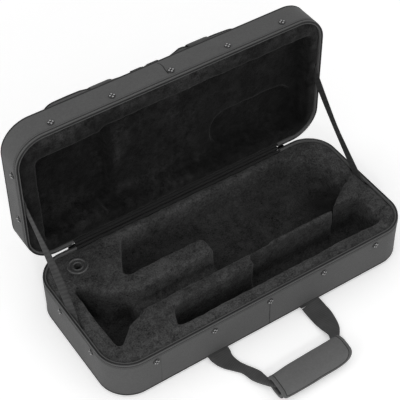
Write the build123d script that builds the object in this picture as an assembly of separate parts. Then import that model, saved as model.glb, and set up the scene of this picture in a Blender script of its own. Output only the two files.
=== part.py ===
from build123d import *
import math
import os

# Zip-around soft case for a brass wind instrument, lid standing open on its two stay straps.
# Millimetres. Origin at the middle of the base's underside, X along the length,
# Y towards the hinge, Z up. Each half is built as a tray: floor at z = 0, open side up.

# ---- overall form ----
case_length = 560.0
case_width = 254.0
corner_radius = 51.0
base_height = 81.0          # underside to the zip's middle plane
lid_depth = 55.0            # zip's middle plane to the lid's outer panel
edge_radius = 10.0          # roll of the floor edge of each half
lid_open_angle = 90.0       # where the stay straps hold the lid

# ---- wall build-up, from outside in ----
cover_thickness = 1.0
shell_thickness = 4.0
lining_thickness = 1.5
foam_clearance = 0.3

# ---- rim and zip ----
shell_drop = 4.0            # zip's middle plane to the top of the stiff wall
tape_height = 6.0           # zip tape that shows above the cover's top seam
tape_setback = 0.3
coil_width = 2.4
coil_height = 1.6
coil_gap = 0.15             # half of the play between the two rows of teeth
binding_width = 5.2
binding_bead_width = 3.0
binding_bead_height = 3.2
welt_height = 6.0           # floor seam above the outside face
welt_radius = 1.3
welt_proud = 0.9            # piping that stands out of the rolled edge
welt_roll = 0.8             # rounding of the piping, as a part of its radius
zip_end_gap = 5.0           # from the hinge strip's end to the zip's end

# ---- fabric hinge ----
hinge_offset = 0.5
hinge_strip_length = 390.0
hinge_strip_height = 15.0
hinge_strip_thickness = 1.0
hinge_fold_radius = 0.8
hinge_leaf_gap = 1.3

# ---- rivet studs ----
stud_head_radius = 5.5
stud_head_height = 2.4
stud_shank_radius = 1.6
stud_drop = 18.5            # zip's middle plane to the studs
stud_spacing = 104.0
stud_count_front = 5
side_stud_front_y = -58.0
side_stud_back_y = 36.0

# ---- stay straps ----
stay_width = 20.0
stay_thickness = 1.4
stay_anchor_y = 8.0
stay_tab_length = 32.0      # webbing that runs on behind the lining
stay_tab_jog = 3.0          # height over which that webbing steps out behind the binding
stay_end_clearance = 0.4
stay_inset = 7.0            # outer face of the case to the strap's outer face
stay_slope = 45.0           # degrees, with the lid open

# ---- carry handle and lid handle ----
webbing_width = 38.0
webbing_thickness = 1.8
strap_left_x = -98.0
strap_right_x = 79.0
strap_tab_out = 3.2
strap_hinge_gap = 0.3
handle_reach = 106.0        # pivot to the middle of the grip
handle_rise = 8.2           # pivot up to the grip's centre height
bar_width = 20.0
bar_thickness = 3.6
leg_narrow_width = 19.0
leg_straight = 30.0         # full-width run of each leg beyond its pivot
leg_end_clearance = 0.6
grip_length = 132.0
grip_width = 50.0
grip_height = 28.0
grip_wall = 5.0
grip_corner_radius = 13.0
grip_slit = 1.0
closure_setback = 3.0
closure_width = 26.0
closure_thickness = 0.8
closure_length = 118.0
grip_binding_width = 3.0
grip_binding_proud = 0.8
lid_root_y = -118.5         # where the lid handle rises from the panel, in the lid's own frame
lid_root_height = 1.1       # panel to the middle of the webbing there
lid_tab_length = 5.0        # webbing sewn flat to the panel
lid_bar_drop = 97.0         # free loop of the lid handle, from its root down
lid_fold_radius = 6.0
strap_pocket_clearance = 1.2

# ---- zip pocket on the lid ----
pocket_left_x = -200.0
pocket_right_x = 160.0
pocket_front_y = -109.5
pocket_back_y = 58.0
pocket_depth = 14.0
pocket_corner_radius = 22.0
pocket_wall = 1.2
pocket_tape_height = 6.4
pocket_tape_thickness = 0.5
pocket_coil_height = 2.6
pocket_coil_thickness = 1.0
pocket_zip_margin = 14.0
pocket_binding_width = 2.2
pocket_binding_height = 1.2
pocket_meeting_x = -21.0    # where the two pocket sliders meet

# ---- zip sliders ----
main_slider_length = 12.0
main_slider_width = 8.6
main_pull_length = 26.0
pocket_slider_length = 11.0
pocket_slider_width = 6.2
pocket_pull_length = 20.0
slider_thickness = 2.8
slider_clearance = 0.3
bail_length = 6.0
bail_width = 1.4
bail_wall = 0.8
bail_post = 1.2
pull_width = 5.4
pull_pin_radius = 0.6       # half of the pull's thickness
pull_window_length = 5.4
pull_window_width = 2.6
pull_hole_radius = 1.4
pull_hole_margin = 4.5

# ---- fitted insert, all from the case's middle ----
bell_left_x = -247.0
bell_front_y = -81.0
bell_back_y = 55.0
bell_throat_x = -176.0
bell_throat_front_y = -43.0
bell_throat_back_y = 4.0
bell_floor_z = 8.0
tail_right_x = 62.0
tail_front_y = -39.0
tail_back_y = -4.0
tail_floor_z = 42.0
body_left_front_x = -168.0
body_left_back_x = -131.0
body_right_x = 244.0
body_front_y = 32.0
body_back_y = 106.0
body_floor_z = 24.0
valve_left_x = -20.0
valve_front_y = -34.0
receiver_right_x = 259.0
receiver_front_y = 2.0
receiver_back_y = 34.0
receiver_floor_z = 56.0
trough_left_x = -150.0
trough_step_x = 18.0
trough_corner_x = 190.0
trough_right_x = 243.0
trough_front_y = -98.0
trough_back_y = -61.0
trough_bay_y = -41.0
hollow_back_y = -32.0
trough_floor_z = 13.0
holder_x = -218.0
holder_y = 88.0
holder_socket_radius = 6.9
holder_socket_floor_z = 20.0
well_corner_radius = 7.0

# ---- mouthpiece ring ----
ring_outer_radius = 17.0
ring_hole_radius = 6.4
ring_plate_thickness = 1.6
ring_bead_radius = 2.2
ring_lip_radius = 1.5

# ---- relief in the lid's lining, seen from its open side ----
lid_left_x = -246.0
lid_step_x = -113.0
lid_right_x = 257.0
lid_front_y = -88.0
lid_bell_front_y = -80.0
lid_back_y = 100.0
lid_bulge_x = -182.0
lid_bulge_y = 88.0
lid_body_depth = 28.0
lid_bell_depth = 44.0
lid_pocket_left_x = 82.0
lid_pocket_right_x = 246.0
lid_pocket_front_y = 22.0
lid_pocket_back_y = 96.0
lid_pocket_radius = 34.0
lid_pocket_depth = 38.0

# ---- places that follow from the sizes above ----
half_length = case_length / 2
zip_end_x = hinge_strip_length / 2 + zip_end_gap
half_width = case_width / 2
hinge_y = half_width + hinge_offset
inside_inset = cover_thickness + shell_thickness
foam_inset = inside_inset + foam_clearance
floor_level = cover_thickness + shell_thickness
pivot_y = -(half_width + strap_tab_out + strap_hinge_gap + webbing_thickness / 2)
pocket_teeth_y = pocket_front_y + pocket_wall - pocket_tape_thickness - pocket_coil_thickness
handle_slope = math.degrees(math.asin(handle_rise / handle_reach))


def outline(inset):
    """Plan of the case, drawn in by inset from its outer face."""
    radius = max(corner_radius - inset, 1.0)
    return RectangleRounded(case_length - 2 * inset, case_width - 2 * inset, radius)


def block(inset, low, high):
    """Upright solid on the case's plan between two levels."""
    return Pos(0, 0, low) * extrude(outline(inset), high - low)


def rolled_block(inset, low, high, roll):
    """The same, with its floor edge rolled."""
    solid = block(inset, low, high)
    return fillet(solid.faces().sort_by(Axis.Z)[0].edges(), roll)


def ring(outer_inset, inner_inset, low, high):
    """Upright ring between two insets of the case's plan."""
    return block(outer_inset, low, high) - block(inner_inset, low - 1, high + 1)


def span(x0, x1, y0, y1, z0, z1):
    """Box given by its six faces."""
    return Pos((x0 + x1) / 2, (y0 + y1) / 2, (z0 + z1) / 2) * Box(x1 - x0, y1 - y0, z1 - z0)


def stud_places(depth):
    """Place and outward direction of each stud on a tray of this depth."""
    level = depth - stud_drop
    first = -stud_spacing * (stud_count_front - 1) / 2
    places = [(first + stud_spacing * i, -half_width, level, 0, -1) for i in range(stud_count_front)]
    for side in (-1, 1):
        for y in (side_stud_front_y, side_stud_back_y):
            places.append((side * half_length, y, level, side, 0))
    return places


def along(place, radius, start, length):
    """Cylinder on a stud's axis, from start inside the outer face, running inwards."""
    x, y, z, out_x, out_y = place
    plane = Plane(origin=(x - out_x * start, y - out_y * start, z), z_dir=(-out_x, -out_y, 0))
    return plane * Cylinder(radius, length, align=(Align.CENTER, Align.CENTER, Align.MIN))


def drill_studs(solid, depth):
    """Clear each stud's shank through a wall."""
    for place in stud_places(depth):
        solid -= along(place, stud_shank_radius, -1, inside_inset + 2)
    return solid


def stiff_shell(depth):
    """Foam-board tray that gives the half its shape."""
    top = depth - shell_drop
    outer = rolled_block(cover_thickness, cover_thickness, top, edge_radius - cover_thickness)
    inner = rolled_block(inside_inset, floor_level, top + 1, edge_radius - inside_inset)
    return drill_studs(outer - inner, depth)


def cover_skin(depth):
    """Whole outer fabric of one half, before it is cut into its panels."""
    top = depth - tape_height
    outer = rolled_block(0, 0, top, edge_radius)
    inner = rolled_block(cover_thickness, cover_thickness, top + 1, edge_radius - cover_thickness)
    return outer - inner - edge_welt()


def wall_cover(depth):
    """Side band of the outer fabric."""
    return drill_studs(cover_skin(depth) & block(-5, welt_height, depth), depth)


def floor_panel(depth):
    """Fabric panel over the floor of the tray, up to the welted seam."""
    return cover_skin(depth) & block(-5, -1, welt_height)


def edge_welt():
    """Round piping in the seam between side band and panel."""
    drop = edge_radius - welt_height
    outer = edge_radius - math.sqrt(edge_radius ** 2 - drop ** 2) - welt_proud
    bead = ring(outer, outer + 2 * welt_radius, welt_height - welt_radius, welt_height + welt_radius)
    bead = fillet([e for e in bead.edges() if on_outline(e, outer)], welt_roll * welt_radius)
    return bead - rolled_block(cover_thickness, cover_thickness, base_height, edge_radius - cover_thickness)


def on_outline(edge, inset):
    """True for a level edge that runs along the case's plan at this inset."""
    box = edge.bounding_box()
    if box.max.Z - box.min.Z > 0.01:
        return False
    reach_x = max(abs(box.max.X), abs(box.min.X))
    reach_y = max(abs(box.max.Y), abs(box.min.Y))
    return abs(reach_x - (half_length - inset)) < 0.01 or abs(reach_y - (half_width - inset)) < 0.01


def open_at_hinge(solid, reach_x):
    """Cut a ring away along the hinge side, between plus and minus reach_x."""
    return solid - span(-reach_x, reach_x, half_width - 20, half_width + 20, -200, 200)


def zip_tape(depth):
    """Woven tape from the cover's top seam to the teeth, on three sides and round the corners."""
    low = depth - tape_height
    high = depth - coil_gap - coil_height
    return open_at_hinge(ring(tape_setback, cover_thickness, low, high), zip_end_x)


def zip_coil(depth):
    """Row of teeth along the tape's edge."""
    low = depth - coil_gap - coil_height
    teeth = ring(tape_setback, tape_setback + coil_width, low, depth - coil_gap)
    return open_at_hinge(teeth, zip_end_x)


def rim_binding(depth):
    """Folded fabric that wraps the top of the stiff wall and holds the lining's edge."""
    low = depth - shell_drop
    inner = cover_thickness + binding_width
    flat = ring(cover_thickness, inner, low, depth - coil_gap - coil_height)
    bead = ring(inner - binding_bead_width, inner, low, low + binding_bead_height)
    return flat + bead


def polygon(points, low, high, roll=well_corner_radius, grow=0.0):
    """Upright solid on a plan of straight sides with rolled corners, grown outwards."""
    plan = make_face(Polyline(*points, close=True))
    plan = fillet(plan.vertices(), roll)
    if grow > 0:
        plan = offset(plan, amount=grow)
    return Pos(0, 0, low - grow) * extrude(plan, high - low + grow)


def bell_well(top, grow):
    """Flared well for the bell and its throat."""
    points = [
        (bell_left_x, bell_front_y),
        (bell_left_x + 9, bell_front_y),
        (bell_throat_x - 34, bell_throat_front_y - 11),
        (bell_throat_x, bell_throat_front_y),
        (bell_throat_x, bell_throat_back_y),
        (bell_throat_x - 34, bell_throat_back_y + 16),
        (bell_left_x + 9, bell_back_y),
        (bell_left_x, bell_back_y),
    ]
    return polygon(points, bell_floor_z, top, 4.0, grow)


def tail_well(top, grow):
    """Shallow channel for the tube that runs from the bell."""
    points = [
        (bell_throat_x - 30, bell_throat_front_y + 3),
        (bell_throat_x + 44, tail_front_y),
        (tail_right_x, tail_front_y),
        (tail_right_x, tail_back_y),
        (bell_throat_x - 30, tail_back_y),
    ]
    return polygon(points, tail_floor_z, top, 5.0, grow)


def body_well(top, grow):
    """Main well for the tuning slide, the valves and the bows."""
    points = [
        (body_left_front_x, body_front_y),
        (valve_left_x, body_front_y),
        (valve_left_x, valve_front_y),
        (trough_corner_x, valve_front_y),
        (body_right_x, receiver_front_y),
        (body_right_x, 52),
        (body_right_x - 26, 86),
        (body_right_x - 60, body_back_y),
        (body_left_back_x, body_back_y),
    ]
    return polygon(points, body_floor_z, top, well_corner_radius, grow)


def receiver_well(top, grow):
    """Notch for the end of the leadpipe."""
    points = [
        (body_right_x - 30, receiver_front_y),
        (receiver_right_x, receiver_front_y),
        (receiver_right_x, receiver_back_y),
        (body_right_x - 30, receiver_back_y),
    ]
    return polygon(points, receiver_floor_z, top, well_corner_radius, grow)


def front_trough(top, grow):
    """Long accessory compartment along the front, with its deep bay at the right."""
    points = [
        (trough_left_x, trough_front_y),
        (trough_right_x, trough_front_y),
        (trough_right_x, hollow_back_y),
        (trough_corner_x, hollow_back_y),
        (trough_corner_x, trough_bay_y),
        (trough_step_x, trough_bay_y),
        (trough_step_x, trough_back_y),
        (trough_left_x + 14, trough_back_y),
    ]
    return polygon(points, trough_floor_z, top, 4.0, grow)


def holder_socket(top, grow):
    """Round socket under the mouthpiece ring."""
    depth = top - holder_socket_floor_z + grow
    socket = Cylinder(holder_socket_radius + grow, depth, align=(Align.CENTER, Align.CENTER, Align.MIN))
    return Pos(holder_x, holder_y, holder_socket_floor_z - grow) * socket


def base_wells(top, grow=0.0):
    """Every well of the base as one cutting solid."""
    wells = bell_well(top, grow)
    for make in (tail_well, body_well, receiver_well, front_trough, holder_socket):
        wells += make(top, grow)
    return wells


def lid_bell_recess(depth, top, grow):
    """Deep recess that closes over the bell."""
    points = [
        (lid_left_x, lid_bell_front_y),
        (lid_step_x, lid_bell_front_y),
        (lid_step_x, lid_back_y),
        (lid_bulge_x + 40, lid_bulge_y),
        (lid_bulge_x, lid_bulge_y),
        (lid_bulge_x - 14, lid_back_y),
        (lid_left_x, lid_back_y),
    ]
    return polygon(points, depth - shell_drop - lid_bell_depth, top, well_corner_radius, grow)


def lid_body_recess(depth, top, grow):
    """Shallow recess over the rest of the instrument."""
    points = [
        (lid_step_x - 20, lid_front_y),
        (lid_right_x, lid_front_y),
        (lid_right_x, lid_back_y),
        (lid_step_x - 20, lid_back_y),
    ]
    return polygon(points, depth - shell_drop - lid_body_depth, top, well_corner_radius, grow)


def lid_valve_recess(depth, top, grow):
    """Round-ended recess over the valves."""
    points = [
        (lid_pocket_left_x, lid_pocket_front_y),
        (lid_pocket_right_x, lid_pocket_front_y),
        (lid_pocket_right_x, lid_pocket_back_y),
        (lid_pocket_left_x, lid_pocket_back_y),
    ]
    return polygon(points, depth - shell_drop - lid_pocket_depth, top, lid_pocket_radius, grow)


def lid_recesses(depth, top, grow=0.0):
    """Every recess of the lid as one cutting solid."""
    recesses = lid_bell_recess(depth, top, grow)
    recesses += lid_body_recess(depth, top, grow)
    return recesses + lid_valve_recess(depth, top, grow)


def stay_strip(side, length, depth, outer, inner):
    """Webbing-wide strip on the stay's slope, going down from the rim, between two insets."""
    x = side * (half_length - (outer + inner) / 2)
    strip = Pos(0, -length / 2, 0) * Box(inner - outer, length, stay_width)
    return Pos(x, stay_anchor_y, depth) * Rot(stay_slope, 0, 0) * strip


def stay_notch(depth):
    """Slots at both ends of the case where the stay straps go down behind the lining."""
    inner = stay_inset + stay_thickness + foam_clearance
    reach = stay_width / 2 * math.cos(math.radians(stay_slope))
    run = stay_tab_length * math.cos(math.radians(stay_slope)) + reach + 1
    slots = []
    for side in (-1, 1):
        low, high = sorted((side * (half_length - inner), side * (half_length - inside_inset + 1)))
        back = stay_anchor_y + 2 * reach + 1
        slots.append(span(low, high, stay_anchor_y - run, back, depth - run, depth + 1))
    return slots[0] + slots[1]


def insert_foam(depth, wells):
    """Foam block of one half, cut for its wells."""
    top = depth - shell_drop - lining_thickness
    roll = edge_radius - inside_inset + 1
    return rolled_block(foam_inset, floor_level, top, roll) - wells - stay_notch(depth)


def insert_lining(depth, grown_wells, wells):
    """Plush skin over the foam's top and down into its wells."""
    top = depth - shell_drop
    skin = block(foam_inset, top - lining_thickness, top) + (grown_wells & block(foam_inset, 0, top))
    return skin - wells - stay_notch(depth)


def stay_tabs(depth):
    """Sewn ends of the stay straps: flat on the stiff wall, then stepped in behind the rim binding."""
    wall = inside_inset
    step_high = depth - shell_drop - 1
    step_low = step_high - stay_tab_jog
    tabs = []
    for side in (-1, 1):
        low = stay_strip(side, stay_tab_length, depth, wall, wall + stay_thickness)
        low -= span(-case_length, case_length, -case_width, case_width, step_low, depth + stay_width)
        step = stay_strip(side, stay_tab_length, depth, wall, stay_inset + stay_thickness)
        step &= span(-case_length, case_length, -case_width, case_width, step_low, step_high)
        high = stay_strip(side, stay_tab_length, depth, stay_inset, stay_inset + stay_thickness)
        high &= span(-case_length, case_length, -case_width, case_width, step_high, depth - stay_end_clearance)
        tabs.append(low + step + high)
    return tabs


def studs(depth):
    """Domed rivets with their shanks and inner washers."""
    rivets = []
    for place in stud_places(depth):
        x, y, z, out_x, out_y = place
        dome_radius = (stud_head_radius ** 2 + stud_head_height ** 2) / (2 * stud_head_height)
        plane = Plane(origin=(x, y, z), z_dir=(out_x, out_y, 0))
        ball = plane * (Pos(0, 0, stud_head_height - dome_radius) * Sphere(dome_radius))
        head = ball & along(place, stud_head_radius + 1, -stud_head_height - 1, stud_head_height + 1)
        shank = along(place, stud_shank_radius, -0.2, inside_inset + 0.2)
        rivets.append(head + shank)
    return rivets


def hinge_leaf(depth, with_fold):
    """Half of the fabric hinge strip, sewn to the outside of the hinge-side wall."""
    high = depth - hinge_leaf_gap
    y0 = half_width
    leaf = span(-hinge_strip_length / 2, hinge_strip_length / 2, y0, y0 + hinge_strip_thickness,
                high - hinge_strip_height, high)
    if not with_fold:
        return leaf
    fold = Pos(0, hinge_y, depth) * Rot(0, 90, 0) * Cylinder(hinge_fold_radius, hinge_strip_length)
    web = span(-hinge_strip_length / 2, hinge_strip_length / 2, hinge_y - 0.4, hinge_y + 0.4, high - 1, depth)
    return leaf + web + fold


def strap_tabs():
    """Two stubs of webbing caught in the floor seam at the front."""
    front = half_width + strap_tab_out
    stubs = []
    for x in (strap_left_x, strap_right_x):
        stub = span(x - webbing_width / 2, x + webbing_width / 2, -front, -half_width + cover_thickness,
                    welt_height - webbing_thickness / 2, welt_height + webbing_thickness / 2)
        edges = stub.edges().filter_by(Axis.X).group_by(Axis.Y)[0]
        stubs.append(fillet(edges, 0.45 * webbing_thickness))
    return stubs


def lid_tabs():
    """Sewn ends of the lid handle, flat on the lid's panel."""
    low = lid_root_y + webbing_thickness / 2 + strap_hinge_gap
    return [span(x - webbing_width / 2, x + webbing_width / 2, low, low + lid_tab_length, -webbing_thickness, 0)
            for x in (strap_left_x, strap_right_x)]


def without_tabs(solid, tabs):
    """Cut the webbing's sewn ends out of a layer that they pass through."""
    for stub in tabs:
        solid -= stub
    return solid


def strap_leg(x_wall, slim_start, end):
    """Flat leg of a handle in the plane Z = 0, narrowing from the seam to the folded bar."""
    side = 1 if x_wall > 0 else -1
    wide_in, wide_out = x_wall - side * webbing_width / 2, x_wall + side * webbing_width / 2
    slim_in = side * (grip_length / 2 + leg_end_clearance)
    slim_out = slim_in + side * leg_narrow_width
    points = [
        (wide_in, 0),
        (wide_out, 0),
        (wide_out, -leg_straight),
        (slim_out, -slim_start),
        (slim_out, -end),
        (slim_in, -end),
        (slim_in, -slim_start),
        (wide_in, -leg_straight),
    ]
    leg = extrude(make_face(Polyline(*points, close=True)), webbing_thickness)
    return Pos(0, 0, -webbing_thickness / 2) * leg


def webbing_loop(end, bar_low, bar_high):
    """Two legs and the folded bar between them, in the handle's own plane."""
    slim_start = end - bar_width / 2 - grip_width / 2 - 2
    loop = strap_leg(strap_left_x, slim_start, end) + strap_leg(strap_right_x, slim_start, end)
    reach = grip_length / 2 + leg_end_clearance + leg_narrow_width
    return loop + span(-reach, reach, -end, -end + bar_width, bar_low, bar_high)


def strap_roots():
    """Rounded ends of both legs, centred on the line about which the handle swings."""
    roll = Rot(0, 90, 0) * Cylinder(webbing_thickness / 2, webbing_width)
    return Pos(strap_left_x, 0, 0) * roll + Pos(strap_right_x, 0, 0) * roll


def carry_loop():
    """Webbing of the carry handle, laid out in front of the case with its grip on the ground."""
    end = handle_reach + bar_width / 2
    loop = webbing_loop(end, -bar_thickness / 2, bar_thickness / 2) + strap_roots()
    return Pos(0, pivot_y, welt_height) * Rot(-handle_slope, 0, 0) * loop


def grip_profile(wall):
    """Section of the wrap, in the plane across the grip."""
    return RectangleRounded(grip_width - 2 * wall, grip_height - 2 * wall, grip_corner_radius - wall)


def grip_prism(wall, length):
    """Solid along X on the wrap's section."""
    return Rot(0, 90, 0) * Rot(0, 0, 90) * (Pos(0, 0, -length / 2) * extrude(grip_profile(wall), length))


def place_grip(solid):
    """Put a piece of the grip round the handle's bar, flat on the ground."""
    y = pivot_y - handle_reach * math.cos(math.radians(handle_slope))
    return Pos(0, y, welt_height + handle_rise) * solid


def grip_wrap():
    """Padded wrap, closed by its overlapping front edges."""
    wrap = grip_prism(0, grip_length) - grip_prism(grip_wall, grip_length + 2)
    seam_z = (grip_wall - grip_height) / 2
    front = -grip_width / 2
    end = front + closure_setback + closure_width + 1
    slot = span(-grip_length, grip_length, front - 1, end, seam_z - closure_thickness / 2,
                seam_z + closure_thickness / 2)
    slit_y = front + grip_corner_radius
    slit = span(-grip_length, grip_length, slit_y, slit_y + grip_slit, seam_z, seam_z + grip_wall)
    return wrap - slot - slit


def closure_tape(upper):
    """One half of the hook-and-loop pair inside the wrap's overlap."""
    seam_z = (grip_wall - grip_height) / 2
    front = closure_setback - grip_width / 2
    half = closure_thickness / 2
    low = seam_z if upper else seam_z - half
    return span(-closure_length / 2, closure_length / 2, front, front + closure_width, low, low + half)


def grip_binding():
    """Bound edges: a band round each end of the wrap and one along its front edge."""
    pieces = []
    for side in (-1, 1):
        band = grip_prism(-grip_binding_proud, grip_binding_width) - grip_prism(0, grip_binding_width + 2)
        band &= span(-grip_length, grip_length, -grip_width, grip_width, -grip_height / 2, grip_height)
        pieces.append(Pos(side * (grip_length - grip_binding_width) / 2, 0, 0) * band)
    return pieces


def lid_loop():
    """Lid handle: up from the panel, over the pocket's edge and down outside it, in the lid's own frame."""
    half = webbing_thickness / 2
    hang_z = -(pocket_depth + strap_pocket_clearance + half)
    turn_z = hang_z + lid_fold_radius
    turn_y = lid_root_y + lid_fold_radius
    loop = Pos(0, lid_root_y, -lid_root_height) * strap_roots()
    for x in (strap_left_x, strap_right_x):
        x0, x1 = x - webbing_width / 2, x + webbing_width / 2
        loop += span(x0, x1, lid_root_y - half, lid_root_y + half, turn_z, -lid_root_height)
        tube = Cylinder(lid_fold_radius + half, webbing_width) - Cylinder(lid_fold_radius - half, case_length)
        bend = Pos(x, turn_y, turn_z) * Rot(0, 90, 0) * tube
        loop += bend & span(x0, x1, lid_root_y - half, turn_y, hang_z - half, turn_z)
    hang = webbing_loop(lid_bar_drop - lid_fold_radius, -half, bar_thickness - half)
    return loop + Pos(0, turn_y, hang_z) * Rot(180, 0, 0) * hang


def pocket_plan(inset):
    """Plan of the pocket on the lid's panel."""
    length = pocket_right_x - pocket_left_x - 2 * inset
    width = pocket_back_y - pocket_front_y - 2 * inset
    middle = Pos((pocket_left_x + pocket_right_x) / 2, (pocket_front_y + pocket_back_y) / 2)
    return middle * RectangleRounded(length, width, pocket_corner_radius - inset)


def pocket_block(inset, low, high):
    """Solid on the pocket's plan, heights measured outwards from the lid's panel."""
    return Pos(0, 0, -high) * extrude(pocket_plan(inset), high - low)


def pocket_front_band(outer_y, inner_y, height):
    """Long box in the pocket's front side, centred on its depth."""
    margin = pocket_corner_radius + pocket_zip_margin
    middle = -pocket_depth / 2
    return span(pocket_left_x + margin, pocket_right_x - margin, outer_y, inner_y,
                middle - height / 2, middle + height / 2)


def pocket_gusset():
    """Side band of the pocket, slotted along the front for its zip."""
    band = pocket_block(0, 0, pocket_depth - pocket_wall) - pocket_block(pocket_wall, -1, pocket_depth)
    return band - pocket_front_band(pocket_front_y - 1, pocket_front_y + pocket_wall + 1, pocket_tape_height)


def pocket_zip_tape():
    """Pair of tapes that close the slot."""
    inner = pocket_front_y + pocket_wall
    return pocket_front_band(inner - pocket_tape_thickness, inner, pocket_tape_height)


def pocket_zip_teeth():
    """Closed row of teeth on the tapes."""
    return pocket_front_band(pocket_teeth_y, pocket_teeth_y + pocket_coil_thickness, pocket_coil_height)


def pocket_panel():
    """Outer face of the pocket, with a rolled edge."""
    panel = pocket_block(0, pocket_depth - pocket_wall, pocket_depth)
    return fillet(panel.faces().sort_by(Axis.Z)[0].edges(), 0.8 * pocket_wall)


def pocket_binding():
    """Bound seam that joins the pocket to the lid's panel."""
    return pocket_block(-pocket_binding_width, 0, pocket_binding_height) - pocket_block(0, -1, pocket_depth)


def slider(length, width):
    """Zip slider lying on the XY plane, the zip along X, with a bail on top."""
    body = Pos(0, 0, slider_thickness / 2) * Box(length, width, slider_thickness)
    body = fillet(body.edges().filter_by(Axis.Z), 0.3 * width)
    body = fillet(body.faces().sort_by(Axis.Z)[-1].edges(), 0.25 * slider_thickness)
    eye_height = 2 * (pull_pin_radius + slider_clearance)
    high = slider_thickness + eye_height + bail_wall
    bail = span(-bail_length / 2, bail_length / 2, -bail_width / 2, bail_width / 2, slider_thickness / 2, high)
    eye_reach = bail_length / 2 - bail_post
    eye = span(-eye_reach, eye_reach, -bail_width, bail_width, slider_thickness, slider_thickness + eye_height)
    return body + (bail - eye)


def slider_pull(length, direction):
    """Flat pull tab, its crossbar through the slider's bail, lying along the zip."""
    level = slider_thickness + slider_clearance + pull_pin_radius
    half = pull_width / 2
    tab = span(0, length, -half, half, -pull_pin_radius, pull_pin_radius)
    far = tab.edges().filter_by(Axis.Z).group_by(Axis.X)[-1]
    tab = fillet(far, 0.8 * half)
    window_end = pull_pin_radius + pull_window_length
    tab -= span(pull_pin_radius, window_end, -pull_window_width / 2, pull_window_width / 2, -2, 2)
    tab -= Pos(length - pull_hole_margin, 0, 0) * Cylinder(pull_hole_radius, 5)
    tab += Rot(90, 0, 0) * Cylinder(pull_pin_radius, pull_width)
    tab = Pos(0, 0, level) * tab
    return tab if direction > 0 else mirror(tab, Plane.YZ)


def base_slider_place(solid, side):
    """Main sliders stand at the zip's ends on the outside of the hinge-side wall."""
    x = side * (zip_end_x + main_slider_length / 2)
    z = base_height - main_slider_width / 2 - slider_clearance
    return Pos(x, half_width + slider_clearance, z) * Rot(-90, 0, 0) * solid


def pocket_slider_place(solid, side):
    """Pocket sliders stand on the pocket's teeth, face to face at the meeting point."""
    x = pocket_meeting_x + side * (pocket_slider_length / 2 + slider_clearance)
    return Pos(x, pocket_teeth_y - slider_clearance, -pocket_depth / 2) * Rot(90, 0, 0) * solid


def mouthpiece_ring():
    """Rubber ring round the mouthpiece socket, with a raised bead and a lip at the hole."""
    plate = Cylinder(ring_outer_radius, ring_plate_thickness, align=(Align.CENTER, Align.CENTER, Align.MIN))
    bead = Pos(0, 0, ring_plate_thickness) * Torus(ring_outer_radius - ring_bead_radius, ring_bead_radius)
    lip = Pos(0, 0, ring_plate_thickness) * Torus(ring_hole_radius + ring_lip_radius, ring_lip_radius)
    body = plate + bead + lip
    body -= Pos(0, 0, -10) * Box(60, 60, 20)
    body -= Cylinder(ring_hole_radius, 30)
    return Pos(holder_x, holder_y, base_height - shell_drop) * body


def place_lid(solid):
    """Turn a tray upside down onto the base, then open it on the hinge."""
    closed = Pos(0, 0, base_height + lid_depth) * mirror(solid, Plane.XY)
    about = Pos(0, hinge_y, base_height)
    return about * Rot(-lid_open_angle, 0, 0) * Pos(0, -hinge_y, -base_height) * closed


def lid_point(y, z):
    """Where a point of the closed lid, in the plane across the hinge, lies when it is open."""
    turn = math.radians(-lid_open_angle)
    dy, dz = y - hinge_y, z - base_height
    return (hinge_y + dy * math.cos(turn) - dz * math.sin(turn),
            base_height + dy * math.sin(turn) + dz * math.cos(turn))


def stay_strap(side):
    """Stay strap, pulled straight between the base's rim and the open lid's rim."""
    reach_y, reach_z = lid_point(stay_anchor_y, base_height)
    length = math.hypot(reach_y - stay_anchor_y, reach_z - base_height) + 2 * stay_width
    strap = Box(stay_thickness, length, stay_width)
    x = side * (half_length - stay_inset - stay_thickness / 2)
    middle = Pos(x, (stay_anchor_y + reach_y) / 2, (base_height + reach_z) / 2)
    between = span(-case_length, case_length, -case_width, hinge_y - stay_end_clearance,
                   base_height + stay_end_clearance, case_length)
    return middle * Rot(stay_slope, 0, 0) * strap & between


def save(name, shape):
    """Write one named piece, or a list of like pieces, as a STEP file."""
    if isinstance(shape, (list, tuple)):
        solids = [s for item in shape for s in item.solids()]
        shape = Compound(children=solids)
    elif len(shape.solids()) == 1:
        shape = shape.solids()[0]
    export_step(shape, f"parts/{name}.step")


def build_tray(side_name, panel_name, depth, wells, grown_wells, place):
    """Layers that base and lid share, each written where place puts it."""
    tabs = strap_tabs() if side_name == "base" else lid_tabs()
    pieces = {
        "shell": stiff_shell(depth),
        "wall_cover": without_tabs(wall_cover(depth), tabs),
        panel_name: without_tabs(floor_panel(depth), tabs),
        "edge_piping": without_tabs(edge_welt(), tabs),
        "zip_tape": zip_tape(depth),
        "zip_teeth": zip_coil(depth),
        "rim_binding": rim_binding(depth),
        "foam": insert_foam(depth, grown_wells),
        "lining": insert_lining(depth, grown_wells, wells),
        "rivets": studs(depth),
        "stay_ends": stay_tabs(depth),
        "handle_tabs": tabs,
        "hinge_strip": hinge_leaf(depth, side_name == "base"),
    }
    for name, piece in pieces.items():
        placed = [place(p) for p in piece] if isinstance(piece, list) else place(piece)
        save(f"{side_name}_{name}", placed)


def build_pocket():
    """Pocket, lid handle and the pocket's sliders, all on the lid."""
    save("pocket_gusset", place_lid(pocket_gusset()))
    save("pocket_panel", place_lid(pocket_panel()))
    save("pocket_binding", place_lid(pocket_binding()))
    save("pocket_zip_tape", place_lid(pocket_zip_tape()))
    save("pocket_zip_teeth", place_lid(pocket_zip_teeth()))
    save("lid_handle_strap", place_lid(lid_loop()))
    for side, word in ((-1, "left"), (1, "right")):
        piece = slider(pocket_slider_length, pocket_slider_width)
        save(f"pocket_slider_{word}", place_lid(pocket_slider_place(piece, side)))
        save(f"pocket_pull_{word}", place_lid(pocket_slider_place(slider_pull(pocket_pull_length, side), side)))


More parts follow.
